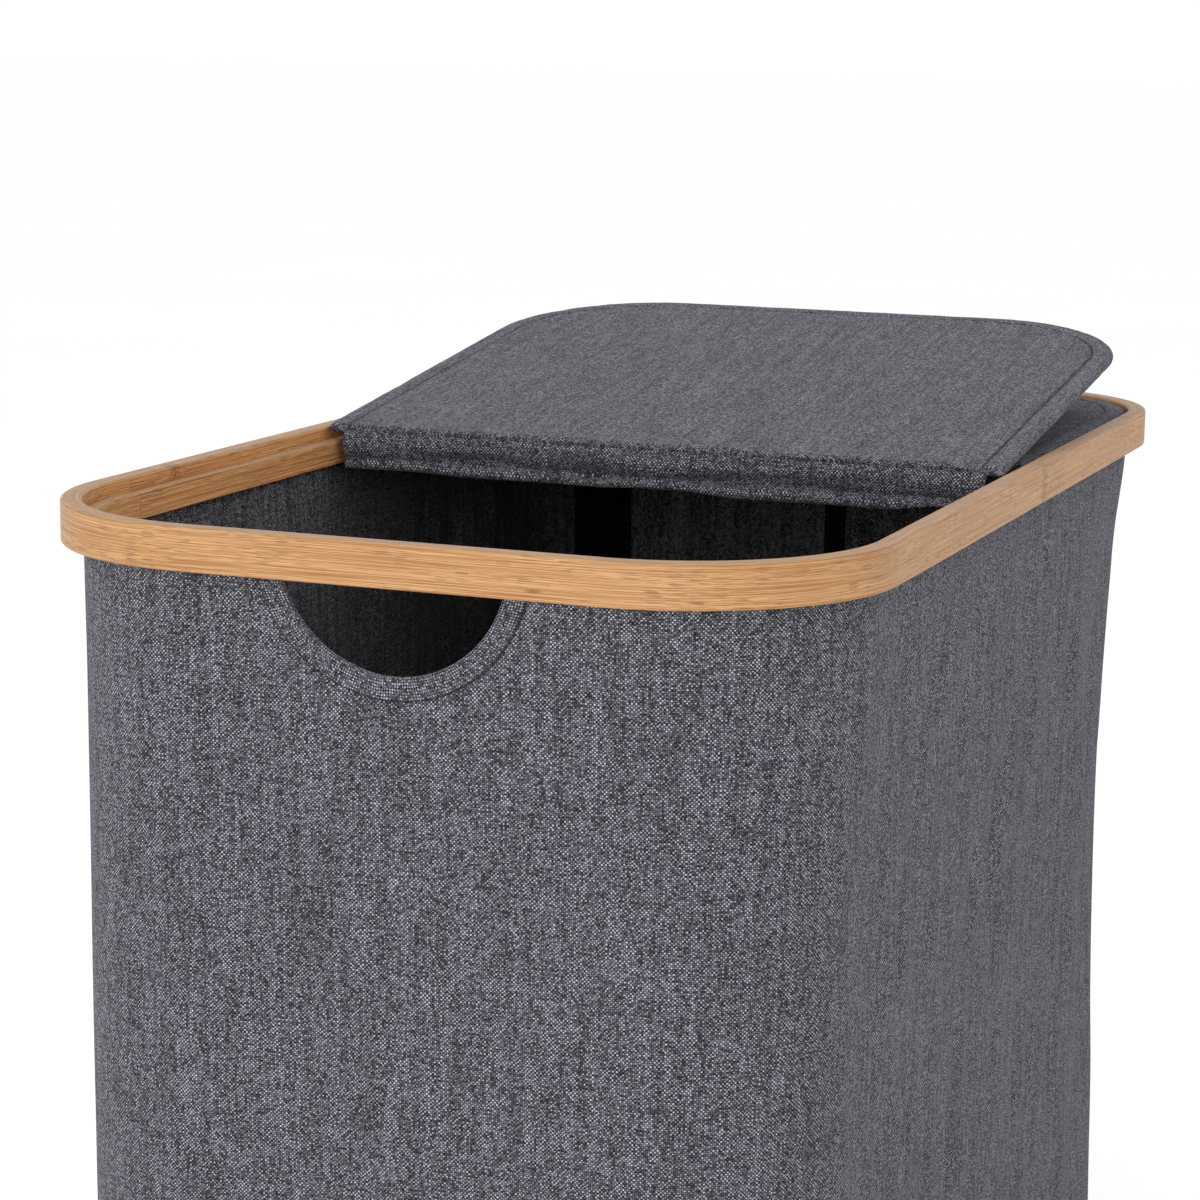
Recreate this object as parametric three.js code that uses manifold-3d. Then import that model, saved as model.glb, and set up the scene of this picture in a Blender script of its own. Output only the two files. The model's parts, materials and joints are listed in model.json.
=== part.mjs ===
// Free-standing laundry hamper: a fabric bag hung from a bent bamboo rim, with a lid in two
// halves that lies in a rebate inside the rim. The front half is folded back over the rear half.
// Millimetres, +Z up, +Y to the rear. The origin is on the floor, under the middle of the rim.
import * as THREE from "three";
import { mergeVertices } from "three/addons/utils/BufferGeometryUtils.js";
import Module from "manifold-3d";

const wasm = await Module();
wasm.setup();

// ---- Driving sizes ----

const gap = 0.3; // between pieces that touch
const arcSteps = 12; // segments in each rounded corner of the plan

// Rim
const rimLength = 600; // outside, front to rear
const rimWidth = 340; // outside, side to side
const rimTop = 600; // above the floor
const rimRadius = 87; // outside corner radius in plan
const hoopThick = 8.5;
const hoopHeight = 17;
const hoopRound = 1.2; // rounding along the hoop's four edges
const rebateDepth = 6; // from the rim's top down to the ledge
const ledgeFlange = 2.5; // thickness of the ledge over the bag's hem
const ledgeWall = 3.1; // wall of the ledge hoop below its flange

// Bag
const shellThick = 1.2;
const liningThick = 0.8;
const floorThick = 1.2;
const insertThick = 4; // loose base board in a cloth cover
const insertClearance = 1; // around the base insert
const seamTapeWidth = 11.5;
const seamTapeThick = 0.8;
const seamTapeX = -9; // the closing seam is a little off centre
const bradRadius = 0.7; // brads that pin the bag's hem to the outer hoop
const bradClearance = 0.3;
const bradBite = 3.5; // into the outer hoop

// Hand holes in the front and rear walls, cut off by the rim above them
const handRadius = 47;
const handDrop = 5; // from the rim's top down to the centre of the hole's arc
const facingWidth = 8.4;
const facingThick = 0.8;

// Corner supports
const poleRadius = 3;
const poleWall = 0.6;
const capThick = 2;
const plugLength = 8;
const sleeveWidth = 34;
const sleeveThick = 1;
const sleeveRoom = 2.4; // how much the tunnel is deeper than the pole
const sleeveEnd = 6; // from the sleeve's ends to the rim and the base insert

// Lid
const lidClearance = 1.5; // around the lid in the rebate
const lidThick = 5;
const coverThick = 1;
const bandWidth = 10; // padded edge band on the outer edges
const foldBandWidth = 5; // and along the edge at the fold
const boardEdge = 1; // from the board to the edge band
const rearFront = 16; // Y of the rear half's front edge
const foldedNose = -18; // Y of the front half's fold edge while it is folded back
const closedNose = -13; // Y of the same edge while the lid is closed
const foldedTilt = THREE.MathUtils.degToRad(7.8); // the folded half slopes up to the rear
const foldedClearance = 2.5; // of the folded half over the rear half's edge
const spineInset = 3.5; // of the hinge cloth from the ledge on each side
const spineThick = 1.2;
const spineDrop = 12.8; // how far the slack cloth hangs below the ledge

// ---- Sizes worked out from them ----

// Insets in plan from the rim's outside, from the hoop inwards
const shellOuter = hoopThick + gap;
const shellInner = shellOuter + shellThick;
const liningOuter = shellInner + gap;
const liningInner = liningOuter + liningThick;
const ledgeOuter = liningInner + gap;
const ledgeInner = ledgeOuter + ledgeWall;
const lidInset = hoopThick + lidClearance;

// Heights
const rimBottom = rimTop - hoopHeight;
const ledgeTop = rimTop - rebateDepth;
const hemTop = ledgeTop - ledgeFlange - gap;
const liningFloorBottom = floorThick + gap;
const insertBottom = liningFloorBottom + liningThick + gap;
const insertTop = insertBottom + insertThick;
const bradHeight = (rimBottom + hemTop) / 2;
const handCentre = rimTop - handDrop;

// Lid
const lidHalfWidth = rimWidth / 2 - lidInset;
const lidEnd = rimLength / 2 - lidInset;
const lidRadius = rimRadius - lidInset;
const lidBottom = ledgeTop + gap;
const lidTop = lidBottom + lidThick;
const boardThick = lidThick - 2 * coverThick - 2 * gap;
const flapLength = lidEnd + closedNose;
const noseHeight = lidTop + foldedClearance - (rearFront - foldedNose) * Math.tan(foldedTilt);

// ---- Helpers ----

// A closed rounded rectangle: the rim's outside, moved inwards by an inset.
function planOutline(inset, Outline = THREE.Shape) {
  const x = rimWidth / 2 - inset;
  const y = rimLength / 2 - inset;
  const r = rimRadius - inset;
  const outline = new Outline();
  outline.moveTo(x, -(y - r));
  outline.absarc(x - r, y - r, r, 0, Math.PI / 2);
  outline.absarc(-(x - r), y - r, r, Math.PI / 2, Math.PI);
  outline.absarc(-(x - r), -(y - r), r, Math.PI, 1.5 * Math.PI);
  outline.absarc(x - r, -(y - r), r, 1.5 * Math.PI, 2 * Math.PI);
  outline.closePath();
  return outline;
}

// Half a lid, from its straight edge at y = start to its rounded end at y = end.
function lidOutline(halfWidth, start, end, radius) {
  const shape = new THREE.Shape();
  shape.moveTo(-halfWidth, start);
  shape.lineTo(halfWidth, start);
  shape.absarc(halfWidth - radius, end - radius, radius, 0, Math.PI / 2);
  shape.absarc(-halfWidth + radius, end - radius, radius, Math.PI / 2, Math.PI);
  shape.closePath();
  return shape;
}

// A flat shape, raised from bottom to top, with its edges rounded if asked.
function raised(shape, bottom, top, round = 0) {
  const geometry = new THREE.ExtrudeGeometry(shape, {
    depth: top - bottom - 2 * round,
    curveSegments: arcSteps,
    bevelEnabled: round > 0,
    bevelThickness: round,
    bevelSize: round,
    bevelOffset: -round,
    bevelSegments: 2,
  });
  return geometry.translate(0, 0, bottom + round);
}

// A wall that follows the rim's plan between two insets.
function ring(outer, inner, bottom, top, round = 0) {
  const shape = planOutline(outer);
  shape.holes.push(planOutline(inner, THREE.Path));
  return raised(shape, bottom, top, round);
}

// A shape drawn in the YZ plane, extruded along +X from x = start.
function alongX(shape, start, length) {
  const geometry = new THREE.ExtrudeGeometry(shape, { depth: length, bevelEnabled: false });
  const yzx = new THREE.Matrix4().makeBasis(
    new THREE.Vector3(0, 1, 0),
    new THREE.Vector3(0, 0, 1),
    new THREE.Vector3(1, 0, 0),
  );
  return geometry.applyMatrix4(yzx).translate(start, 0, 0);
}

// A shape drawn in the XZ plane, extruded along +Y from y = start.
function alongY(shape, start, length) {
  const geometry = new THREE.ExtrudeGeometry(shape, {
    depth: length,
    curveSegments: 2 * arcSteps,
    bevelEnabled: false,
  });
  return geometry.rotateX(Math.PI / 2).translate(0, start + length, 0);
}

// A manifold-3d solid from a three.js geometry, for cutting and joining.
function solid(geometry) {
  const bare = geometry.clone().deleteAttribute("normal").deleteAttribute("uv");
  const merged = mergeVertices(bare, 1e-3);
  return new wasm.Manifold(
    new wasm.Mesh({
      numProp: 3,
      vertProperties: merged.attributes.position.array,
      triVerts: new Uint32Array(merged.index.array),
    }),
  );
}

// A three.js geometry from a manifold-3d solid.
function geometryOf(manifold) {
  const mesh = manifold.getMesh();
  const geometry = new THREE.BufferGeometry();
  geometry.setAttribute("position", new THREE.BufferAttribute(mesh.vertProperties, 3));
  geometry.setIndex(new THREE.BufferAttribute(mesh.triVerts, 1));
  geometry.computeVertexNormals();
  return geometry;
}

function cut(geometry, cutters) {
  return geometryOf(cutters.reduce((left, cutter) => left.subtract(solid(cutter)), solid(geometry)));
}

function join(a, b) {
  return geometryOf(solid(a).add(solid(b)));
}

// ---- Materials ----

const bamboo = new THREE.MeshStandardMaterial({ color: 0xcfa26e, roughness: 0.5 });
const greyCloth = new THREE.MeshStandardMaterial({ color: 0x5b5d66, roughness: 0.95 });
const liningCloth = new THREE.MeshStandardMaterial({ color: 0x3a3b42, roughness: 0.95 });
const blackTape = new THREE.MeshStandardMaterial({ color: 0x0c0c0d, roughness: 0.9 });
const hardboard = new THREE.MeshStandardMaterial({ color: 0x7a5a3c, roughness: 0.8 });
const steel = new THREE.MeshStandardMaterial({ color: 0xb4b6b8, roughness: 0.35, metalness: 1 });
const capPlastic = new THREE.MeshStandardMaterial({ color: 0x161616, roughness: 0.6 });

const hamper = new THREE.Group();

function piece(name, geometry, material, parent = hamper) {
  const mesh = new THREE.Mesh(geometry, material);
  mesh.name = name;
  parent.add(mesh);
  return mesh;
}

// ---- Brads: driven outwards through the bag's hem into the outer hoop, behind the ledge hoop ----

const bradInset = ledgeOuter - gap;
const bradLength = bradInset - hoopThick + bradBite;
const bradPlaces = [];
for (const side of [1, -1]) {
  const across = rimWidth / 2 - bradInset;
  const along = rimLength / 2 - bradInset;
  const sidePitch = (rimLength / 2 - rimRadius) * 0.75;
  for (const y of [-sidePitch, 0, sidePitch]) {
    bradPlaces.push({ x: side * across, y, turn: side > 0 ? 0 : Math.PI });
  }
  for (const x of [-1, 1]) {
    const endPitch = (rimWidth / 2 - rimRadius) * 0.75;
    bradPlaces.push({ x: x * endPitch, y: side * along, turn: (side * Math.PI) / 2 });
  }
}

// A rod that points outwards from a brad's place on the hem.
function bradRod(place, radius, from, to) {
  const rod = new THREE.CylinderGeometry(radius, radius, to - from, 10);
  rod.rotateZ(-Math.PI / 2).translate((from + to) / 2, 0, 0);
  return rod.rotateZ(place.turn).translate(place.x, place.y, bradHeight);
}

const bradHoles = bradPlaces.map((place) =>
  bradRod(place, bradRadius + bradClearance, -1, bradLength + gap),
);
bradPlaces.forEach((place, i) => {
  piece(`hem_brad_${i + 1}`, bradRod(place, bradRadius, 0, bradLength), steel);
});

// ---- Rim ----

piece("rim_outer_hoop", cut(ring(0, hoopThick, rimBottom, rimTop, hoopRound), bradHoles), bamboo);

const ledgeWallRing = ring(ledgeOuter, ledgeInner, rimBottom, ledgeTop);
const ledgeFlangeRing = ring(hoopThick + gap, ledgeInner, ledgeTop - ledgeFlange, ledgeTop);
piece("rim_ledge_hoop", join(ledgeWallRing, ledgeFlangeRing), bamboo);

// ---- Bag ----

// The hand hole: the part of a circle that lies below a height.
function handShape(radius, top) {
  const shape = new THREE.Shape();
  const dip = Math.asin((handCentre - top) / radius);
  shape.absarc(0, handCentre, radius, Math.PI + dip, 2 * Math.PI - dip);
  shape.closePath();
  return shape;
}

const handCutter = alongY(handShape(handRadius, rimBottom + 1), -rimLength, 2 * rimLength);
const wallCutters = [handCutter, ...bradHoles];
piece("bag_outer_shell", cut(ring(shellOuter, shellInner, 0, hemTop), wallCutters), greyCloth);
const liningRing = ring(liningOuter, liningInner, liningFloorBottom, hemTop);
piece("bag_lining", cut(liningRing, wallCutters), liningCloth);
piece("bag_bottom_panel", raised(planOutline(liningOuter), 0, floorThick), greyCloth);
const liningFloor = raised(planOutline(ledgeOuter), liningFloorBottom, insertBottom - gap);
piece("lining_floor", liningFloor, liningCloth);
const insertOutline = planOutline(liningInner + insertClearance);
piece("base_insert", raised(insertOutline, insertBottom, insertTop), liningCloth);

// The facing is sewn round each hand hole on the inside of the lining.
const facingFace = rimLength / 2 - liningInner - gap;
const facingTop = rimBottom - gap;
const facing = handShape(handRadius + facingWidth, facingTop);
const facingHole = alongY(handShape(handRadius, facingTop + 1), -rimLength, 2 * rimLength);
piece("front_handle_facing", cut(alongY(facing, -facingFace, facingThick), [facingHole]), greyCloth);
const rearFacing = alongY(facing, facingFace - facingThick, facingThick);
piece("rear_handle_facing", cut(rearFacing, [facingHole]), greyCloth);

const tapeTop = handCentre - handRadius - facingWidth - 1;
const tape = new THREE.BoxGeometry(seamTapeWidth, seamTapeThick, tapeTop - insertTop - gap);
const tapeY = facingFace - seamTapeThick / 2;
tape.translate(seamTapeX, tapeY, (tapeTop + insertTop + gap) / 2);
piece("rear_seam_tape", tape, blackTape);

// ---- Corner supports: a capped steel pole in a black cloth sleeve in each corner ----

const wallRadius = rimRadius - liningInner; // of the lining's inner face in the corner
const tunnelDepth = 2 * poleRadius + sleeveRoom;
const tunnelHalf = tunnelDepth * 0.95;
const poleInset = gap + tunnelDepth / 2;

// The sleeve's section in plan, with X pointing out into the corner: sewn flat at both edges,
// and bulged over the pole in the middle.
function sleeveSection() {
  const steps = 24;
  const shape = new THREE.Shape();
  const point = (i, thickness) => {
    const along = (i / steps - 0.5) * sleeveWidth;
    const near = Math.abs(along) < tunnelHalf;
    const bulge = near ? (tunnelDepth * (1 + Math.cos((Math.PI * along) / tunnelHalf))) / 2 : 0;
    const radius = wallRadius - gap - bulge - thickness;
    return [radius * Math.cos(along / wallRadius), radius * Math.sin(along / wallRadius)];
  };
  shape.moveTo(...point(0, sleeveThick));
  for (let i = 1; i <= steps; i++) shape.lineTo(...point(i, sleeveThick));
  for (let i = steps; i >= 0; i--) shape.lineTo(...point(i, 0));
  shape.closePath();
  return shape;
}

// A ring or disc profile turned about the Z axis: pairs of radius and height.
function turned(profile) {
  const points = profile.map(([radius, height]) => new THREE.Vector2(radius, height));
  return new THREE.LatheGeometry(points, 16).rotateX(Math.PI / 2);
}

const poleBottom = insertTop + gap + capThick + gap;
const poleTop = rimBottom - gap - capThick - gap;
const poleBore = poleRadius - poleWall;
const plugRadius = poleBore - gap;

// A cap with its plug pointing up, standing on z = 0.
function cap() {
  return turned([
    [0, 0],
    [poleRadius - 0.5, 0],
    [poleRadius, 0.5],
    [poleRadius, capThick],
    [plugRadius, capThick],
    [plugRadius, capThick + plugLength],
    [0, capThick + plugLength],
  ]);
}

const corners = [
  ["front_left", -1, -1],
  ["front_right", 1, -1],
  ["rear_left", -1, 1],
  ["rear_right", 1, 1],
];
for (const [corner, sideX, sideY] of corners) {
  const place = new THREE.Group();
  place.position.set(sideX * (rimWidth / 2 - rimRadius), sideY * (rimLength / 2 - rimRadius), 0);
  place.rotation.z = Math.atan2(sideY, sideX);
  hamper.add(place);

  const sleeve = raised(sleeveSection(), insertTop + sleeveEnd, rimBottom - sleeveEnd);
  piece(`${corner}_pole_sleeve`, sleeve, blackTape, place);

  const supports = new THREE.Group();
  supports.position.x = wallRadius - poleInset;
  place.add(supports);
  const tube = turned([
    [poleBore, poleBottom],
    [poleRadius, poleBottom],
    [poleRadius, poleTop],
    [poleBore, poleTop],
    [poleBore, poleBottom],
  ]);
  piece(`${corner}_support_pole`, tube, steel, supports);
  const lower = piece(`${corner}_pole_cap_lower`, cap(), capPlastic, supports);
  lower.position.z = insertTop + gap;
  const upper = piece(`${corner}_pole_cap_upper`, cap(), capPlastic, supports);
  upper.rotation.x = Math.PI;
  upper.position.z = rimBottom - gap;
}

// ---- Lid ----

// A padded half: an edge band round a board that lies between two covers. It lies on z = 0 and
// runs along +Y from its edge at the fold to its rounded end.
function lidHalf(name, fold, end, parent, shapeBand = (band) => band) {
  const inside = bandWidth + gap;
  const coverStart = fold + foldBandWidth + gap;
  const coverRadius = lidRadius - inside;
  const cover = lidOutline(lidHalfWidth - inside, coverStart, end - inside, coverRadius);
  const inner = inside + boardEdge;
  const boardStart = coverStart + boardEdge;
  const board = lidOutline(lidHalfWidth - inner, boardStart, end - inner, lidRadius - inner);
  const band = lidOutline(lidHalfWidth, fold, end, lidRadius);
  const bandInner = lidOutline(
    lidHalfWidth - bandWidth,
    fold + foldBandWidth,
    end - bandWidth,
    lidRadius - bandWidth,
  );
  band.holes.push(new THREE.Path(bandInner.getPoints(arcSteps)));
  const boardBottom = coverThick + gap;
  piece(`${name}_edge_band`, shapeBand(raised(band, 0, lidThick)), greyCloth, parent);
  piece(`${name}_lower_cover`, raised(cover, 0, coverThick), greyCloth, parent);
  piece(`${name}_board`, raised(board, boardBottom, boardBottom + boardThick), hardboard, parent);
  piece(`${name}_upper_cover`, raised(cover, lidThick - coverThick, lidThick), greyCloth, parent);
}

// The front half turns about its fold edge, so that edge is fully rounded.
function roundFoldEdge(band) {
  const radius = lidThick / 2;
  const side = new THREE.Shape();
  side.absarc(radius, radius, radius, Math.PI / 2, 1.5 * Math.PI);
  side.lineTo(2 * flapLength, 0);
  side.lineTo(2 * flapLength, lidThick);
  side.closePath();
  return geometryOf(solid(band).intersect(solid(alongX(side, -rimWidth, 2 * rimWidth))));
}

const rearHalf = new THREE.Group();
rearHalf.position.z = lidBottom;
hamper.add(rearHalf);
lidHalf("lid_rear", rearFront, lidEnd, rearHalf);

// The front half, folded back: it stands on its fold edge and leans over the rear half.
const frontHalf = new THREE.Group();
frontHalf.position.set(0, foldedNose, noseHeight);
frontHalf.rotation.x = foldedTilt;
hamper.add(frontHalf);
lidHalf("lid_front", 0, flapLength, frontHalf, roundFoldEdge);

// The hinge cloth hangs slack between the two halves, inside the ledge. Its line runs from the
// front half's fold edge down to a crease, round the slack and back up to the rear half.
const noseTop = noseHeight + lidThick * Math.cos(foldedTilt);
const noseFront = foldedNose - lidThick * Math.sin(foldedTilt) - gap - spineThick / 2;
const slackBottom = ledgeTop - spineDrop + spineThick / 2;
const spineEnd = rearFront - gap - spineThick / 2;
const spineLine = new THREE.SplineCurve([
  new THREE.Vector2(noseFront, noseTop),
  new THREE.Vector2(noseFront - 0.6, noseTop - 5),
  new THREE.Vector2(noseFront + 0.2, (noseTop + slackBottom) / 2),
  new THREE.Vector2(noseFront - 0.8, slackBottom + 4),
  new THREE.Vector2(noseFront + 2.2, slackBottom),
  new THREE.Vector2((noseFront + spineEnd) / 2, slackBottom + 4),
  new THREE.Vector2(spineEnd - 4, lidBottom - 3.5),
  new THREE.Vector2(spineEnd, lidBottom + lidThick / 2),
]);

// A strip of one thickness along a line.
function strip(line, thickness, steps) {
  const sides = [[], []];
  for (let i = 0; i <= steps; i++) {
    const at = line.getPoint(i / steps);
    const along = line.getTangent(i / steps);
    const across = new THREE.Vector2(-along.y, along.x).multiplyScalar(thickness / 2);
    sides[0].push(at.clone().add(across));
    sides[1].unshift(at.clone().sub(across));
  }
  return new THREE.Shape([...sides[0], ...sides[1]]);
}

const spineHalf = rimWidth / 2 - ledgeInner - spineInset;
const spine = alongX(strip(spineLine, spineThick, 40), -spineHalf, 2 * spineHalf);
piece("lid_hinge_cloth", spine, greyCloth);

export default hamper;
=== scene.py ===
"""Laundry hamper: a woven bag hung from a bent bamboo rim, with a padded lid folded back.

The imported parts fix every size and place. This script gives them their cloth, bamboo, stitching
and light.
"""

import json
import logging
import math
from collections.abc import Callable, Sequence
from dataclasses import dataclass, field
from enum import Enum
from typing import Any

import bmesh
import bpy
import numpy as np
from mathutils import Matrix, Vector

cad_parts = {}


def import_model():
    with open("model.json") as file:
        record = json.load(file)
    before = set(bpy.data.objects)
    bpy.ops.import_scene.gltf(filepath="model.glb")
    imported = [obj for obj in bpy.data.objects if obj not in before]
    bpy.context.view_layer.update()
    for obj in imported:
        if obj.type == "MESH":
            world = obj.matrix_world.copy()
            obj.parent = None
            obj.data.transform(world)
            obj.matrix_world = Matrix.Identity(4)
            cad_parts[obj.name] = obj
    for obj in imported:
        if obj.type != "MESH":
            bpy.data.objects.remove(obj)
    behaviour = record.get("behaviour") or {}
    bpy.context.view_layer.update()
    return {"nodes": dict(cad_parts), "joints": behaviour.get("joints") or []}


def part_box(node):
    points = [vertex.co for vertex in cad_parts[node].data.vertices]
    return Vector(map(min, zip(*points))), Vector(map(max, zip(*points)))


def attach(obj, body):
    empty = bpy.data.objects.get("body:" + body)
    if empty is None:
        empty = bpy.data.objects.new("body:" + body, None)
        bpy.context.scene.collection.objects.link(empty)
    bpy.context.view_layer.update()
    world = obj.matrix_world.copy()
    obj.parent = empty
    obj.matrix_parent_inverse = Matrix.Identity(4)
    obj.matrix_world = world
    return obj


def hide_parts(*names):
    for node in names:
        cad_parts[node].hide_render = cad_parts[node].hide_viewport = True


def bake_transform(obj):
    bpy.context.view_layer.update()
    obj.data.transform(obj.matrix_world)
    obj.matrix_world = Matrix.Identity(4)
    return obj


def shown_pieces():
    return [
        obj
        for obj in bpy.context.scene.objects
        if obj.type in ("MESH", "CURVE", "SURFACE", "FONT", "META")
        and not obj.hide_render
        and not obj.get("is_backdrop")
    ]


LOG = logging.getLogger("hamper")
MM = 0.001

Pair = tuple[float, float]
Point = tuple[float, float, float]
Array = np.ndarray
Tree = bpy.types.NodeTree
Socket = bpy.types.NodeSocket
Thing = bpy.types.Object
Finish = bpy.types.Material


# ---- Small tools ----


def linear(hex_code: str) -> tuple[float, float, float, float]:
    """Turn an sRGB hex colour into linear light.

    Args:
        hex_code: A colour such as "#cfa26e".

    Returns:
        Linear red, green, blue and an alpha of 1.
    """
    channels = [int(hex_code[i : i + 2], 16) / 255 for i in (1, 3, 5)]
    light = [c / 12.92 if c <= 0.04045 else ((c + 0.055) / 1.055) ** 2.4 for c in channels]
    return light[0], light[1], light[2], 1.0


def add_node(
    tree: Tree, kind: str, inputs: dict[str | int, Any] | None = None, **settings: Any
) -> bpy.types.Node:
    """Add one node to a tree, with its settings, and fill or link its inputs.

    Args:
        tree: The node tree that gets the node.
        kind: The node's type name.
        inputs: For each input, by name or place, a value or the output socket that feeds it.
        **settings: Properties of the node.

    Returns:
        The new node.
    """
    node = tree.nodes.new(kind)
    for name, value in settings.items():
        setattr(node, name, value)
    feed(tree, node, inputs or {})
    return node


def feed(tree: Tree, node: bpy.types.Node, inputs: dict[str | int, Any]) -> None:
    """Link each output socket to a node's input, and set every other value."""
    for key, value in inputs.items():
        if isinstance(value, Socket):
            tree.links.new(value, node.inputs[key])
        else:
            node.inputs[key].default_value = value


def maths(tree: Tree, text: str, **values: Any) -> Socket:
    """Chain maths nodes from a short postfix formula.

    Args:
        tree: The node tree that gets the nodes.
        text: Operands and operators in postfix order, such as "u pitch / fract".
        **values: What each operand name stands for: a number or an output socket.

    Returns:
        The output that holds the result.
    """
    words = {
        "+": ("ADD", 2),
        "-": ("SUBTRACT", 2),
        "*": ("MULTIPLY", 2),
        "/": ("DIVIDE", 2),
        "min": ("MINIMUM", 2),
        "max": ("MAXIMUM", 2),
        "pow": ("POWER", 2),
        "mod": ("FLOORED_MODULO", 2),
        "less": ("LESS_THAN", 2),
        "floor": ("FLOOR", 1),
        "fract": ("FRACT", 1),
        "sin": ("SINE", 1),
        "abs": ("ABSOLUTE", 1),
    }
    stack: list[Any] = []
    for word in text.split():
        if word in words:
            operation, count = words[word]
            operands = {count - 1 - i: stack.pop() for i in range(count)}
            made = add_node(tree, "ShaderNodeMath", operands, operation=operation)
            stack.append(made.outputs[0])
        else:
            stack.append(values[word] if word in values else float(word))
    return stack.pop()


class Jitter:
    """Smooth, repeatable unevenness: a sum of waves that closes round a loop."""

    def __init__(self, seed: int, loop: float, across: Pair, along: Pair, waves: int = 26) -> None:
        """Draw the waves.

        Args:
            seed: Start of the random draw.
            loop: Length after which the pattern repeats in u, in metres.
            across: Shortest and longest wave in u, in metres.
            along: Shortest and longest wave in v, in metres.
            waves: How many waves are summed.
        """
        draw = np.random.default_rng(seed)
        lengths = np.exp(draw.uniform(np.log(across[0]), np.log(across[1]), waves))
        self.u_rate = 2 * np.pi * np.maximum(1, np.round(loop / lengths)) / loop
        heights = np.exp(draw.uniform(np.log(along[0]), np.log(along[1]), waves))
        self.v_rate = 2 * np.pi / heights * draw.choice([-1, 1], waves)
        self.phase = draw.uniform(0, 2 * np.pi, waves)
        self.share = 1 / np.sqrt(waves)

    def at(self, u: Array, v: Array) -> Array:
        """Sum the waves at points (u, v): about -1 to 1."""
        u, v = np.broadcast_arrays(np.asarray(u, float), np.asarray(v, float))
        angle = u[..., None] * self.u_rate + v[..., None] * self.v_rate + self.phase
        return np.cos(angle).sum(-1) * self.share


def smooth_step(low: float, high: float, x: Array) -> Array:
    """Rise smoothly from 0 at low to 1 at high."""
    t = np.clip((np.asarray(x, float) - low) / (high - low), 0, 1)
    return t * t * (3 - 2 * t)


@dataclass
class MeshDraft:
    """Vertices, faces and cloth coordinates that are gathered before they become a mesh."""

    points: list[Array] = field(default_factory=list)
    cloth: list[Array] = field(default_factory=list)
    faces: list[tuple[int, ...]] = field(default_factory=list)
    count: int = 0

    def grid(self, points: Array, cloth: Array, turn: bool = False) -> None:
        """Add a grid of quads.

        Args:
            points: Rows by columns by 3.
            cloth: Rows by columns by 2, in metres.
            turn: True to face the other way.
        """
        rows, columns = points.shape[:2]
        index = self.count + np.arange(rows * columns).reshape(rows, columns)
        self.points.append(points.reshape(-1, 3))
        self.cloth.append(cloth.reshape(-1, 2))
        self.count += rows * columns
        a, b, c, d = index[:-1, :-1], index[:-1, 1:], index[1:, 1:], index[1:, :-1]
        corners = (a, d, c, b) if turn else (a, b, c, d)
        self.faces += [tuple(int(x) for x in q) for q in zip(*(x.ravel() for x in corners))]

    def cap(self, ring: Sequence[int]) -> None:
        """Close a ring of vertices with one face."""
        self.faces.append(tuple(ring))

    def build(
        self, name: str, material: Finish, merge: float = 1e-6, outward: bool = True
    ) -> Thing:
        """Make the mesh object.

        Args:
            name: The piece's name.
            material: Its finish.
            merge: Vertices nearer than this become one.
            outward: True if the mesh is closed and its faces are to point outwards.

        Returns:
            The object, linked to the scene.
        """
        mesh = bpy.data.meshes.new(name)
        mesh.from_pydata(np.concatenate(self.points).tolist(), [], self.faces)
        layer = mesh.uv_layers.new(name="cloth")
        corners = np.zeros(len(mesh.loops), np.int32)
        mesh.loops.foreach_get("vertex_index", corners)
        cloth = np.concatenate(self.cloth)[corners].astype(np.float32)
        layer.data.foreach_set("uv", cloth.ravel())
        shape = bmesh.new()
        shape.from_mesh(mesh)
        bmesh.ops.remove_doubles(shape, verts=shape.verts, dist=merge)
        bmesh.ops.dissolve_degenerate(shape, dist=merge, edges=shape.edges)
        if outward:
            bmesh.ops.recalc_face_normals(shape, faces=shape.faces)
        shape.to_mesh(mesh)
        shape.free()
        mesh.shade_smooth()
        mesh.materials.append(material)
        return new_object(name, mesh)


def new_object(name: str, data: Any) -> Thing:
    """Put an object with the given data into the scene."""
    thing = bpy.data.objects.new(name, data)
    bpy.context.scene.collection.objects.link(thing)
    return thing


def polyline_object(name: str, lines: Sequence[Array]) -> Thing:
    """Make a mesh of edges only, one chain for each line of points."""
    mesh = bpy.data.meshes.new(name)
    points: list[Any] = []
    edges: list[Pair] = []
    for line in lines:
        start = len(points)
        points += [tuple(p) for p in line]
        edges += [(start + i, start + i + 1) for i in range(len(line) - 1)]
    mesh.from_pydata(points, edges, [])
    return new_object(name, mesh)


def run_tree(
    base: Thing, tree: Tree, inputs: dict[str, Any], name: str, helpers: Sequence[Thing] = ()
) -> Thing:
    """Run a Geometry Nodes tree once and keep its result as a plain mesh.

    Args:
        base: The object whose mesh goes into the tree. It is removed.
        tree: The node group.
        inputs: A value for each named input.
        name: The new piece's name.
        helpers: Objects that the tree reads, removed afterwards.

    Returns:
        The piece.
    """
    modifier = base.modifiers.new("nodes", "NODES")
    modifier.node_group = tree
    for item in tree.interface.items_tree:
        if item.item_type == "SOCKET" and item.in_out == "INPUT" and item.name in inputs:
            modifier[item.identifier] = inputs[item.name]
    bpy.context.view_layer.update()
    evaluated = base.evaluated_get(bpy.context.evaluated_depsgraph_get())
    mesh = bpy.data.meshes.new_from_object(evaluated)
    mesh.name = name
    for helper in [base, *helpers]:
        bpy.data.objects.remove(helper)
    return new_object(name, mesh)


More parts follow.
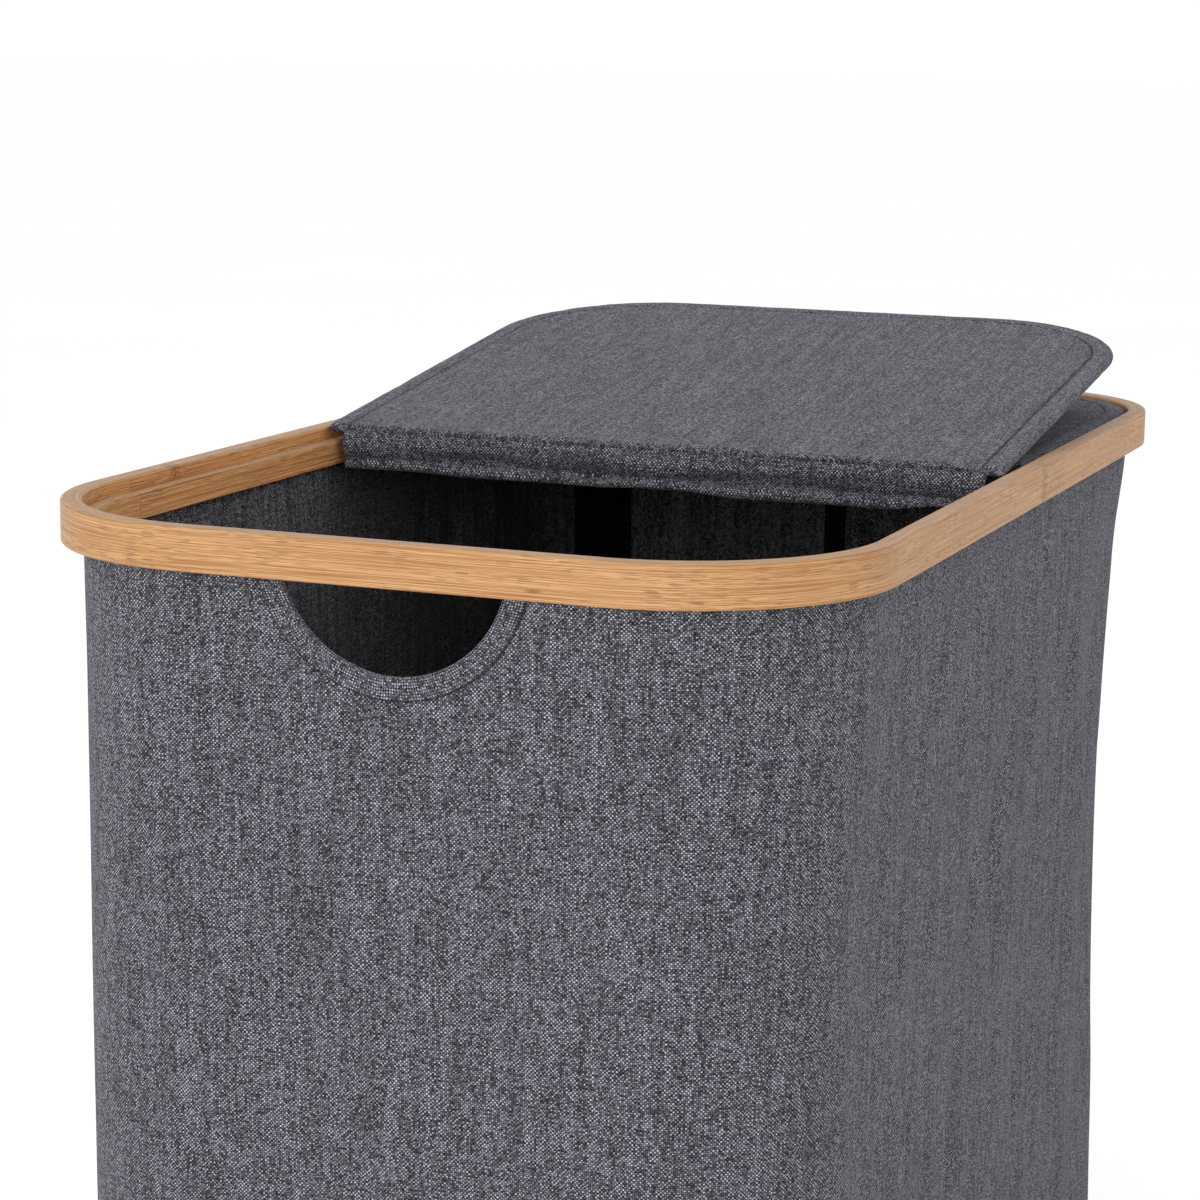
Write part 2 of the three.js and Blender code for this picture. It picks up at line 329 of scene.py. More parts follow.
@dataclass(frozen=True)
class Thread:
    """A sewing thread and how it is stitched."""

    tree: Tree
    material: Finish
    pitch: float
    length: float
    width: float
    unevenness: float

    def sew(self, name: str, lines: Sequence[Array]) -> Thing:
        """Sew a row of stitches along each line."""
        given = {
            "Pitch": self.pitch,
            "Stitch length": self.length,
            "Thread width": self.width,
            "Unevenness": self.unevenness,
            "Material": self.material,
        }
        return run_tree(polyline_object(f"{name}_rows", lines), self.tree, given, name)


def new_tree(name: str, sockets: Sequence[tuple[str, str]]) -> tuple[Any, Any]:
    """Start a Geometry Nodes tree with a geometry in and out.

    Args:
        name: The tree's name.
        sockets: Name and type of each further input.

    Returns:
        The tree and its input node.
    """
    tree = bpy.data.node_groups.new(name, "GeometryNodeTree")
    face = tree.interface
    face.new_socket("Geometry", in_out="OUTPUT", socket_type="NodeSocketGeometry")
    face.new_socket("Lines", in_out="INPUT", socket_type="NodeSocketGeometry")
    for label, kind in sockets:
        face.new_socket(label, in_out="INPUT", socket_type=kind)
    return tree, add_node(tree, "NodeGroupInput")


def strip_tree() -> Tree:
    """Build the tree that bends a strip along a line and remembers where its grain runs."""
    tree, given = new_tree(
        "bent_strip", [("Section", "NodeSocketObject"), ("Material", "NodeSocketMaterial")]
    )
    line = add_node(tree, "GeometryNodeMeshToCurve", {"Mesh": given.outputs["Lines"]})
    place = add_node(tree, "GeometryNodeSplineParameter")
    along = add_node(
        tree,
        "GeometryNodeStoreNamedAttribute",
        {"Geometry": line.outputs[0], "Name": "along", "Value": place.outputs["Length"]},
        data_type="FLOAT",
        domain="POINT",
    )
    upright = add_node(
        tree, "GeometryNodeSetCurveNormal", {"Curve": along.outputs[0]}, mode="Z_UP"
    )
    shape = add_node(tree, "GeometryNodeObjectInfo", {"Object": given.outputs["Section"]})
    outline = add_node(tree, "GeometryNodeMeshToCurve", {"Mesh": shape.outputs["Geometry"]})
    spot = add_node(tree, "GeometryNodeInputPosition")
    depth_height = add_node(
        tree, "ShaderNodeVectorMath", {0: spot.outputs[0], "Scale": -1.0}, operation="SCALE"
    )
    depth = add_node(
        tree,
        "GeometryNodeStoreNamedAttribute",
        {"Geometry": outline.outputs[0], "Name": "section", "Value": depth_height.outputs[0]},
        data_type="FLOAT_VECTOR",
        domain="POINT",
    )
    swept = add_node(
        tree,
        "GeometryNodeCurveToMesh",
        {"Curve": upright.outputs[0], "Profile Curve": depth.outputs[0], "Fill Caps": True},
    )
    smooth = add_node(tree, "GeometryNodeSetShadeSmooth", {"Geometry": swept.outputs[0]})
    real = add_node(tree, "GeometryNodeRealizeInstances", {"Geometry": smooth.outputs[0]})
    dressed = add_node(
        tree,
        "GeometryNodeSetMaterial",
        {"Geometry": real.outputs[0], "Material": given.outputs["Material"]},
    )
    add_node(tree, "NodeGroupOutput", {"Geometry": dressed.outputs[0]})
    return tree


def stitch_tree() -> Tree:
    """Build the tree that sews a row of stitches along every line."""
    tree, given = new_tree(
        "stitch_row",
        [
            ("Pitch", "NodeSocketFloat"),
            ("Stitch length", "NodeSocketFloat"),
            ("Thread width", "NodeSocketFloat"),
            ("Unevenness", "NodeSocketFloat"),
            ("Material", "NodeSocketMaterial"),
        ],
    )
    line = add_node(tree, "GeometryNodeMeshToCurve", {"Mesh": given.outputs["Lines"]})
    spaced = add_node(
        tree,
        "GeometryNodeResampleCurve",
        {"Curve": line.outputs[0], "Length": given.outputs["Pitch"]},
        mode="LENGTH",
    )
    bead = add_node(tree, "GeometryNodeMeshUVSphere", {"Segments": 6, "Rings": 4, "Radius": 0.5})
    size = add_node(
        tree,
        "ShaderNodeCombineXYZ",
        {
            0: given.outputs["Thread width"],
            1: given.outputs["Thread width"],
            2: given.outputs["Stitch length"],
        },
    )
    ahead = add_node(tree, "GeometryNodeInputTangent")
    uneven = given.outputs["Unevenness"]
    low = add_node(tree, "ShaderNodeMath", {0: uneven, 1: -1.0}, operation="MULTIPLY")
    wobble = add_node(
        tree,
        "FunctionNodeRandomValue",
        {"Min": low.outputs[0], "Max": uneven, "Seed": 7},
        data_type="FLOAT_VECTOR",
    )
    lean = add_node(
        tree, "ShaderNodeVectorMath", {0: ahead.outputs[0], 1: wobble.outputs[0]}, operation="ADD"
    )
    turn = add_node(
        tree, "FunctionNodeAlignRotationToVector", {"Vector": lean.outputs[0]}, axis="Z"
    )
    sewn = add_node(
        tree,
        "GeometryNodeInstanceOnPoints",
        {
            "Points": spaced.outputs[0],
            "Instance": bead.outputs["Mesh"],
            "Rotation": turn.outputs[0],
            "Scale": size.outputs[0],
        },
    )
    real = add_node(tree, "GeometryNodeRealizeInstances", {"Geometry": sewn.outputs[0]})
    smooth = add_node(tree, "GeometryNodeSetShadeSmooth", {"Geometry": real.outputs[0]})
    dressed = add_node(
        tree,
        "GeometryNodeSetMaterial",
        {"Geometry": smooth.outputs[0], "Material": given.outputs["Material"]},
    )
    add_node(tree, "NodeGroupOutput", {"Geometry": dressed.outputs[0]})
    return tree


# ---- Finishes ----


def new_material(name: str) -> tuple[Finish, Any, Any]:
    """Start a material.

    Args:
        name: The finish's name.

    Returns:
        The material, its node tree and its surface shader.
    """
    material = bpy.data.materials.new(name)
    material.use_nodes = True
    tree = material.node_tree
    tree.nodes.clear()
    shader = add_node(tree, "ShaderNodeBsdfPrincipled")
    add_node(tree, "ShaderNodeOutputMaterial", {"Surface": shader.outputs[0]})
    return material, tree, shader


@dataclass(frozen=True)
class MelangeWeave:
    """Plain weave of melange polyester yarn: dark and pale fibres spun together.

    The eye gets a salt and pepper slate grey, a checker of pale warp and darker weft crossings,
    single yarns that run paler or darker for a few centimetres, and a little sheen but no shine.
    The yarn is drawn a little coarser than the real thread, so that it shows.
    """

    name: str = "woven_melange_polyester"
    warp: tuple[str, str] = ("#42434b", "#c9cad6")
    weft: tuple[str, str] = ("#18191d", "#70717a")
    yarn: float = 0.80 * MM
    gap: float = 0.08  # light left in the holes between yarns
    fleck: float = 0.80 * MM
    slub: float = 12 * MM
    streak: float = 0.36
    relief: float = 0.22 * MM
    roughness: float = 0.92
    sheen: float = 0.10
    level: float = 0.80

    def build(self) -> Finish:
        """Make the material on the piece's own cloth coordinates."""
        material, tree, shader = new_material(self.name)
        cloth = add_node(tree, "ShaderNodeUVMap", uv_map="cloth").outputs[0]
        slack = add_node(
            tree,
            "ShaderNodeTexNoise",
            {"Vector": cloth, "Scale": 1 / (9 * MM), "Detail": 2.0},
            noise_dimensions="2D",
        ).outputs["Color"]
        bent = add_node(
            tree,
            "ShaderNodeVectorMath",
            {0: slack, 1: (self.yarn * 1.1,) * 3, 2: cloth},
            operation="MULTIPLY_ADD",
        ).outputs[0]
        split = add_node(tree, "ShaderNodeSeparateXYZ", {0: bent})
        u, v = split.outputs[0], split.outputs[1]
        warp_at = maths(tree, "u yarn /", u=u, yarn=self.yarn)
        weft_at = maths(tree, "v yarn /", v=v, yarn=self.yarn)
        warp_no = maths(tree, "a floor", a=warp_at)
        weft_no = maths(tree, "a floor", a=weft_at)
        over = maths(tree, "a b + 2 mod", a=warp_no, b=weft_no)
        warp_round = maths(tree, "a fract pi * sin", a=warp_at, pi=math.pi)
        weft_round = maths(tree, "a fract pi * sin", a=weft_at, pi=math.pi)
        height = maths(tree, "a b * 0.6 pow", a=warp_round, b=weft_round)
        warp_tone = self._tone(tree, maths(tree, "n 7.31 *", n=warp_no), v)
        weft_tone = self._tone(tree, maths(tree, "n 5.17 * 90 +", n=weft_no), u)
        warp, weft = (
            add_node(
                tree,
                "ShaderNodeMix",
                {0: tone, 6: linear(pair[0]), 7: linear(pair[1])},
                data_type="RGBA",
            ).outputs[2]
            for tone, pair in ((warp_tone, self.warp), (weft_tone, self.weft))
        )
        yarns = add_node(
            tree, "ShaderNodeMix", {0: over, 6: warp, 7: weft}, data_type="RGBA"
        ).outputs[2]
        # Painted shade: the yarns' colour is darkened towards the holes between them, following
        # the weave's height.
        shade = maths(
            tree,
            "h 1 g - * g + m * level *",
            h=height,
            g=self.gap,
            m=self._streaks(tree, cloth),
            level=self.level,
        )
        colour = add_node(
            tree, "ShaderNodeVectorMath", {0: yarns, "Scale": shade}, operation="SCALE"
        ).outputs[0]
        bump = add_node(
            tree, "ShaderNodeBump", {"Strength": 0.6, "Distance": self.relief, "Height": height}
        ).outputs[0]
        feed(
            tree,
            shader,
            {
                "Base Color": colour,
                "Normal": bump,
                "Roughness": self.roughness,
                "Specular IOR Level": 0.2,
                "Sheen Weight": self.sheen,
                "Sheen Roughness": 0.45,
                "Sheen Tint": linear("#c9cbd6"),
            },
        )
        return material

    def _tone(self, tree: Tree, thread: Socket, run: Socket) -> Socket:
        """Mix the fibres along each thread: long pale and dark stretches, and short flecks.

        Args:
            tree: The material's tree.
            thread: A number that differs from thread to thread.
            run: The distance along the thread.

        Returns:
            How pale the thread is, from 0 to 1.
        """
        layers = []
        for size, detail in ((self.fleck, 1.0), (self.slub, 1.0)):
            spot = add_node(
                tree, "ShaderNodeCombineXYZ", {0: maths(tree, "r f /", r=run, f=size), 1: thread}
            ).outputs[0]
            layers.append(
                add_node(
                    tree,
                    "ShaderNodeTexNoise",
                    {"Vector": spot, "Scale": 1.0, "Detail": detail},
                    noise_dimensions="2D",
                ).outputs[0]
            )
        return maths(
            tree, "f 0.5 - 3.0 * s 0.5 - 0.9 * + 0.42 + 0 max 1 min", f=layers[0], s=layers[1]
        )

    def _streaks(self, tree: Tree, cloth: Socket) -> Socket:
        """Give the soft streaks along warp and weft, and cloudy patches: the upright streaks are
        partly the yarns' uneven tone and partly painted shade of small upright wrinkles.
        """
        parts = []
        for size in ((4.2 * MM, 70 * MM), (34 * MM, 2.2 * MM), (11 * MM, 11 * MM)):
            stretched = add_node(
                tree,
                "ShaderNodeVectorMath",
                {0: cloth, 1: (1 / size[0], 1 / size[1], 1.0)},
                operation="MULTIPLY",
            ).outputs[0]
            parts.append(
                add_node(
                    tree,
                    "ShaderNodeTexNoise",
                    {"Vector": stretched, "Scale": 1.0, "Detail": 2.0},
                    noise_dimensions="2D",
                ).outputs[0]
            )
        return maths(
            tree,
            "a 0.5 - 2.3 * b 0.5 - 0.7 * + c 0.5 - 0.5 * + k * 1 +",
            a=parts[0],
            b=parts[1],
            c=parts[2],
            k=self.streak,
        )


@dataclass(frozen=True)
class BentBamboo:
    """Steam-bent bamboo strip, laminated and sanded, under a thin matt lacquer.

    The eye gets straight pale honey fibres that follow every bend, short dark dashes where the
    vascular bundles are cut, a thin dark glue line along the lip, and the odd growth node. The
    finest fibres are drawn 0.3 to 0.5 mm wide, coarser than real ones, so that they show.
    """

    name: str
    outer_nodes: tuple[float, ...]
    inner_nodes: tuple[float, ...]
    layer: float  # depth of the glue line from the outside
    top: float  # height of the strip
    pale: str = "#bb9062"
    honey: str = "#936337"
    dark: str = "#6b4220"
    inner_tint: Point = (1.46, 1.35, 1.22)
    # Painted shade and reflection: the top face is drawn a little darker and cooler than the
    # sides.
    lip_shade_reflection_tint: Point = (0.92, 0.98, 1.08)
    knot: tuple[float, float] = (-1.0, 0.0)

    def build(self) -> Finish:
        """Make the material on the strip's own run and section."""
        material, tree, shader = new_material(self.name)
        along = add_node(tree, "ShaderNodeAttribute", attribute_name="along").outputs["Fac"]
        section = add_node(tree, "ShaderNodeAttribute", attribute_name="section")
        split = add_node(tree, "ShaderNodeSeparateXYZ", {0: section.outputs["Vector"]})
        depth, height = split.outputs[0], split.outputs[1]
        solid = add_node(tree, "ShaderNodeCombineXYZ", {0: along, 1: depth, 2: height}).outputs[0]
        fibre = self._grain(tree, solid, 160 * MM, 0.48 * MM, 0.0)
        thin = self._grain(tree, solid, 45 * MM, 0.34 * MM, 0.0)
        dash = self._grain(tree, solid, 8 * MM, 0.28 * MM, 0.0)
        band = self._grain(tree, solid, 140 * MM, 2.4 * MM, 2.0)
        patch = self._grain(tree, solid, 42 * MM, 7 * MM, 2.0)
        tone = maths(
            tree,
            "f 0.5 - 6 * -0.5 max 0.5 min 0.45 * t 0.5 - 9 * -0.5 max 0.5 min 0.6 * + "
            "b 0.5 - 0.6 * + p 0.5 - 0.9 * + "
            "0.58 + 0 max 1 min",
            f=fibre,
            t=thin,
            b=band,
            p=patch,
        )
        base = add_node(
            tree,
            "ShaderNodeMix",
            {0: tone, 6: linear(self.honey), 7: linear(self.pale)},
            data_type="RGBA",
        ).outputs[2]
        is_outer = maths(tree, "d l less", d=depth, l=self.layer)
        on_lip = maths(tree, "h t 0.0006 - less -1 * 1 +", h=height, t=self.top)
        tint = add_node(
            tree,
            "ShaderNodeMix",
            {0: is_outer, 6: (*self.inner_tint, 1), 7: (1, 1, 1, 1)},
            data_type="RGBA",
        ).outputs[2]
        # Painted shade and reflection on the top face: it is tinted a little darker and cooler.
        tint = add_node(
            tree, "ShaderNodeMix", {0: on_lip, 6: tint, 7: (*self.lip_shade_reflection_tint, 1)}, data_type="RGBA"
        ).outputs[2]
        base = add_node(
            tree, "ShaderNodeVectorMath", {0: base, 1: tint}, operation="MULTIPLY"
        ).outputs[0]
        cut = add_node(
            tree,
            "ShaderNodeMapRange",
            {"Value": dash, "From Min": 0.58, "From Max": 0.62, "To Max": 0.62},
        ).outputs[0]
        worn = add_node(
            tree,
            "ShaderNodeMapRange",
            {"Value": patch, "From Min": 0.40, "From Max": 0.60, "To Min": 0.2, "To Max": 1.0},
        ).outputs[0]
        outer = self._node_rings(tree, along, solid, self.outer_nodes)
        inner = self._node_rings(tree, along, solid, self.inner_nodes)
        ring = add_node(
            tree, "ShaderNodeMix", {0: is_outer, 2: inner, 3: outer}, data_type="FLOAT"
        ).outputs[0]
        glue = maths(tree, "d l - abs 0.00018 less 0.5 *", d=depth, l=self.layer)
        knot = maths(
            tree,
            "a x - abs 0.0042 / 2 pow h y - abs 0.001 / 2 pow + 1 min -1 * 1 + 0.8 *",
            a=along,
            h=height,
            x=self.knot[0],
            y=self.knot[1],
        )
        joint = maths(tree, "a 0.00025 less 0.55 *", a=along)
        dark = maths(
            tree,
            "c w * r max g max k max j max 1 min",
            c=cut,
            w=worn,
            r=ring,
            g=glue,
            k=knot,
            j=joint,
        )
        colour = add_node(
            tree, "ShaderNodeMix", {0: dark, 6: base, 7: linear(self.dark)}, data_type="RGBA"
        ).outputs[2]
        relief = maths(
            tree,
            "f 0.3 * t 0.4 * + c w * 0.7 * - r 0.5 * +",
            f=fibre,
            t=thin,
            c=cut,
            w=worn,
            r=ring,
        )
        bump = add_node(
            tree, "ShaderNodeBump", {"Strength": 0.7, "Distance": 0.16 * MM, "Height": relief}
        ).outputs[0]
        rough = maths(tree, "t 0.2 * 0.38 +", t=thin)
        feed(
            tree,
            shader,
            {
                "Base Color": colour,
                "Roughness": rough,
                "Normal": bump,
                "IOR": 1.5,
                "Specular IOR Level": 0.32,
                "Coat Weight": 0.04,
                "Coat Roughness": 0.35,
            },
        )
        return material

    def _grain(
        self, tree: Tree, solid: Socket, length: float, width: float, detail: float
    ) -> Socket:
        """Give noise stretched along the strip.

        Args:
            tree: The material's tree.
            solid: Run, depth and height in metres.
            length: How long a mark is.
            width: How wide it is.
            detail: Octaves of noise.

        Returns:
            The noise, from 0 to 1.
        """
        scaled = add_node(
            tree,
            "ShaderNodeVectorMath",
            {0: solid, 1: (1 / length, 1 / width, 1 / width)},
            operation="MULTIPLY",
        ).outputs[0]
        return add_node(
            tree, "ShaderNodeTexNoise", {"Vector": scaled, "Scale": 1.0, "Detail": detail}
        ).outputs[0]

    def _node_rings(
        self, tree: Tree, along: Socket, solid: Socket, places: Sequence[float]
    ) -> Socket:
        """Give the growth nodes: two thin wavy brown lines with speckle between them.

        Args:
            tree: The material's tree.
            along: The run along the strip.
            solid: Run, depth and height in metres.
            places: Where the nodes are along the strip.

        Returns:
            How dark the mark is, from 0 to 1.
        """
        waver = self._grain(tree, solid, 4 * MM, 1.2 * MM, 2.0)
        speck = self._grain(tree, solid, 1.2 * MM, 0.5 * MM, 2.0)
        total: Any = 0.0
        for place in places:
            total = maths(
                tree,
                "t a p - w 0.5 - 0.017 * + abs 0.0017 - abs 0.0012 / 1 min -1 * 1 + 0.8 * +",
                t=total,
                a=along,
                p=place,
                w=waver,
            )
            total = maths(
                tree,
                "t a p - abs 0.005 less s 0.48 - 4 * 0 max * 0.8 * +",
                t=total,
                a=along,
                p=place,
                s=speck,
            )
        return maths(tree, "t 1 min", t=total)


@dataclass(frozen=True)
class BlackTape:
    """Black woven polypropylene tape: the eye gets fine ribs and hardly any light back."""

    name: str = "black_woven_tape"
    colour: str = "#0b0b0c"
    rib: float = 0.9 * MM

    def build(self) -> Finish:
        """Make the material on the piece's own cloth coordinates."""
        material, tree, shader = new_material(self.name)
        cloth = add_node(tree, "ShaderNodeUVMap", uv_map="cloth").outputs[0]
        split = add_node(tree, "ShaderNodeSeparateXYZ", {0: cloth})
        height = maths(
            tree,
            "u r / pi * sin abs v r / pi * sin abs *",
            u=split.outputs[0],
            v=split.outputs[1],
            r=self.rib,
            pi=math.pi,
        )
        # Painted shade: the tape's colour is darker between its ribs.
        shade = maths(tree, "h 0.7 * 0.5 +", h=height)
        colour = add_node(
            tree,
            "ShaderNodeVectorMath",
            {0: linear(self.colour)[:3], "Scale": shade},
            operation="SCALE",
        ).outputs[0]
        bump = add_node(
            tree, "ShaderNodeBump", {"Strength": 0.5, "Distance": 0.2 * MM, "Height": height}
        ).outputs[0]
        feed(
            tree,
            shader,
            {"Base Color": colour, "Normal": bump, "Roughness": 0.85, "Specular IOR Level": 0.15},
        )
        return material


@dataclass(frozen=True)
class SpeckledSolid:
    """A moulded, drawn or pressed material with fine unevenness in colour and gloss."""

    name: str
    colour: str
    second: str
    grain: Point  # size of a mark along X, Y and Z
    roughness: Pair
    metallic: float = 0.0
    relief: float = 0.02 * MM

    def build(self) -> Finish:
        """Make the material on object coordinates."""
        material, tree, shader = new_material(self.name)
        place = add_node(tree, "ShaderNodeTexCoord").outputs["Object"]
        scaled = add_node(
            tree, "ShaderNodeVectorMath", {0: place, 1: self.grain}, operation="DIVIDE"
        ).outputs[0]
        noise = add_node(
            tree, "ShaderNodeTexNoise", {"Vector": scaled, "Scale": 1.0, "Detail": 3.0}
        ).outputs[0]
        colour = add_node(
            tree,
            "ShaderNodeMix",
            {0: noise, 6: linear(self.colour), 7: linear(self.second)},
            data_type="RGBA",
        ).outputs[2]
        rough = add_node(
            tree,
            "ShaderNodeMapRange",
            {"Value": noise, "To Min": self.roughness[0], "To Max": self.roughness[1]},
        ).outputs[0]
        bump = add_node(
            tree, "ShaderNodeBump", {"Strength": 0.4, "Distance": self.relief, "Height": noise}
        ).outputs[0]
        feed(
            tree,
            shader,
            {"Base Color": colour, "Roughness": rough, "Normal": bump, "Metallic": self.metallic},
        )
        return material


# ---- Shared shapes ----


@dataclass(frozen=True)
class Plan:
    """A rounded rectangle seen from above, walked anticlockwise from the seam on its rear wall."""

    half_x: float
    half_y: float
    radius: float
    seam_x: float = 0.0

    @property
    def straight(self) -> Pair:
        """Half the straight lengths of the short and the long walls."""
        return self.half_x - self.radius, self.half_y - self.radius

    @property
    def stretches(self) -> list[float]:
        """Length of each stretch, wall and corner by turns, from the seam back to the seam."""
        short, long = self.straight
        arc = self.radius * math.pi / 2
        first = self.seam_x + short
        return [first, arc, 2 * long, arc, 2 * short, arc, 2 * long, arc, 2 * short - first]

    @property
    def length(self) -> float:
        """The whole way round."""
        return sum(self.stretches)

    @property
    def marks(self) -> list[float]:
        """Where each stretch starts and ends, along the way round."""
        return [0.0, *np.cumsum(self.stretches).tolist()]

    def at(self, s: Array) -> tuple[Array, Array]:
        """Find points on the outline.

        Args:
            s: Distances along it from the seam.

        Returns:
            The points and the outward directions, each with X and Y last.
        """
        s = np.mod(np.asarray(s, float), self.length)
        short, long = self.straight
        marks = self.marks
        point = np.zeros((*s.shape, 2))
        out = np.zeros((*s.shape, 2))
        walls = [
            (0, (self.seam_x, self.half_y), (-1, 0)),
            (2, (-self.half_x, long), (0, -1)),
            (4, (-short, -self.half_y), (1, 0)),
            (6, (self.half_x, -long), (0, 1)),
            (8, (short, self.half_y), (-1, 0)),
        ]
        for i, start, way in walls:
            here = (s >= marks[i]) & (s <= marks[i + 1])
            run = (s - marks[i])[here]
            point[here] = np.array(start) + run[:, None] * np.array(way)
            out[here] = (way[1], -way[0])
        corners = [
            (1, (-short, long), 0.5),
            (3, (-short, -long), 1.0),
            (5, (short, -long), 1.5),
            (7, (short, long), 0.0),
        ]
        for i, centre, turn in corners:
            here = (s > marks[i]) & (s < marks[i + 1])
            angle = turn * math.pi + (s - marks[i])[here] / self.radius
            ray = np.stack([np.cos(angle), np.sin(angle)], -1)
            point[here] = np.array(centre) + self.radius * ray
            out[here] = ray
        return point, out


def spaced(start: float, end: float, step: float) -> list[float]:
    """Even places from start up to, and without, end."""
    count = max(1, round(abs(end - start) / step))
    return [start + (end - start) * i / count for i in range(count)]


@dataclass
class Bag:
    """The bag's walls and floor, and everything sewn to them."""

    plan: Plan
    rim_bottom: float
    hem_top: float
    hand_centre: float
    hand_radius: float
    facing_width: float
    cloth: Finish
    lining: Finish
    tape: Finish
    thread: Finish
    stitches: Tree
    shell_thick: float = 1.2 * MM
    lining_gap: float = 0.3 * MM
    lining_thick: float = 0.8 * MM
    long_bow: float = 5.0 * MM
    short_bow: float = 3.4 * MM
    corner_bow: float = 0.8 * MM
    ripple: float = 0.55 * MM
    dent: float = 10.0 * MM  # soft hollow at the rear end of the right wall
    dent_past: float = 4 * MM  # of its middle past the wall's end
    dent_half: float = 64 * MM
    dent_z: float = 400 * MM
    dent_tall: float = 170 * MM
    patch: float = 66 * MM  # half width of the finer mesh round a hand hole
    patch_drop: float = 70 * MM  # of that mesh below the hole's centre
    edge_roll: float = 3.0 * MM
    fine_step: float = 4.4 * MM  # between mesh columns on the short walls
    bend_step: float = 5.6 * MM  # round the corners
    wall_step: float = 8.5 * MM  # on the long walls
    sleeve_half: float = 17 * MM
    sleeve_thick: float = 0.9 * MM
    tape_crown: float = 0.65 * MM

    def __post_init__(self) -> None:
        """Draw the cloth's ripples."""
        self.slow = Jitter(11, self.plan.length, (55 * MM, 170 * MM), (180 * MM, 700 * MM))
        self.fine = Jitter(12, self.plan.length, (16 * MM, 40 * MM), (70 * MM, 260 * MM))

    @property
    def front_mid(self) -> float:
        """Way round to the middle of the front wall."""
        return (self.plan.marks[4] + self.plan.marks[5]) / 2

    def hand_distance(self, s: Array, z: Array) -> Array:
        """Distance on the cloth from the centre of the nearer hand hole."""
        length = self.plan.length
        front = np.asarray(s) - self.front_mid
        rear = np.mod(np.asarray(s) - self.plan.seam_x + length / 2, length) - length / 2
        return np.hypot(np.minimum(abs(front), abs(rear)), np.asarray(z) - self.hand_centre)

    def slump(self, s: Array, z: Array) -> Array:
        """How far the walls pull inwards from upright.

        Args:
            s: Way round from the seam.
            z: Height.

        Returns:
            The inward distance, the same for every layer of the wall.
        """
        s, z = np.broadcast_arrays(np.asarray(s, float), np.asarray(z, float))
        point, _ = self.plan.at(s)
        short, long = self.plan.straight
        x, y = abs(point[..., 0]), abs(point[..., 1])
        on_long = np.cos(np.clip(y / (long + 20 * MM), 0, 1) * math.pi / 2) ** 0.8
        on_short = np.cos(np.clip(x / (short + 14 * MM), 0, 1) * math.pi / 2) ** 0.8
        is_long = smooth_step(0.0, 40 * MM, x - short)
        sides = is_long * self.long_bow * on_long + (1 - is_long) * self.short_bow * on_short
        drop = np.clip((self.rim_bottom - z) / self.rim_bottom, 0, 1)
        belly = np.sin(math.pi * drop) ** 0.85
        calm = smooth_step(0, 60 * MM, self.rim_bottom - z) * smooth_step(4 * MM, 90 * MM, z)
        corner = np.clip((x - short) / self.plan.radius, 0, 1) * np.clip(
            (y - long) / self.plan.radius, 0, 1
        )
        loose = 1 - 0.75 * smooth_step(0.2, 0.45, corner)
        on_side = smooth_step(0, 30 * MM, x - short) * smooth_step(0, 60 * MM, long - y)
        pleats = 0.55 + 1.25 * on_side  # the long walls have more slack than the short ones
        waves = self.slow.at(s, z) * 1.6 + self.fine.at(s, z) * pleats
        near_rim = smooth_step(45 * MM, 0, self.rim_bottom - z) * 0.25
        ripple = self.ripple * waves * (calm + near_rim) * loose
        far = np.abs(s - (self.plan.marks[7] + self.dent_past))
        hollow = np.cos(np.clip(far / self.dent_half, 0, 1) * math.pi / 2) ** 2
        hollow = hollow * np.exp(-(((z - self.dent_z) / self.dent_tall) ** 2)) * self.dent
        slack = self.ripple * 1.2 * calm * loose
        return (sides + self.corner_bow) * belly + hollow * calm + ripple + slack

    def sewn_relief(self, s: Array, z: Array) -> Array:
        """Inward relief of both layers where thread draws them in: hand holes and closing seam."""
        s, z = np.broadcast_arrays(np.asarray(s, float), np.asarray(z, float))
        ray = self.hand_distance(s, z)
        line = self.hand_radius + self.facing_width
        groove = 0.55 * MM * np.exp(-(((ray - line) / (0.8 * MM)) ** 2))
        length = self.plan.length
        off_seam = np.abs(np.mod(s + length / 2, length) - length / 2)
        return groove + 0.5 * MM * np.exp(-((off_seam / (0.9 * MM)) ** 2))

    def shell_detail(self, s: Array, z: Array) -> Array:
        """Inward relief of the outer cloth: what is sewn in, and the rolled lower edge."""
        s, z = np.broadcast_arrays(np.asarray(s, float), np.asarray(z, float))
        low = np.clip(self.edge_roll - z, 0, self.edge_roll)
        roll = self.edge_roll - np.sqrt(np.maximum(self.edge_roll**2 - low**2, 0))
        return self.sewn_relief(s, z) + roll

    def place(self, s: Array, z: Array, inset: Array | float) -> Array:
        """Find points on a wall layer.

        Args:
            s: Way round from the seam.
            z: Height.
            inset: Inward distance from the outer cloth's face.

        Returns:
            Points, with X, Y and Z last.
        """
        s, z, inset = np.broadcast_arrays(
            np.asarray(s, float), np.asarray(z, float), np.asarray(inset, float)
        )
        point, out = self.plan.at(s)
        inward = inset + self.slump(s, z)
        flat = point - out * inward[..., None]
        return np.concatenate([flat, z[..., None]], -1)

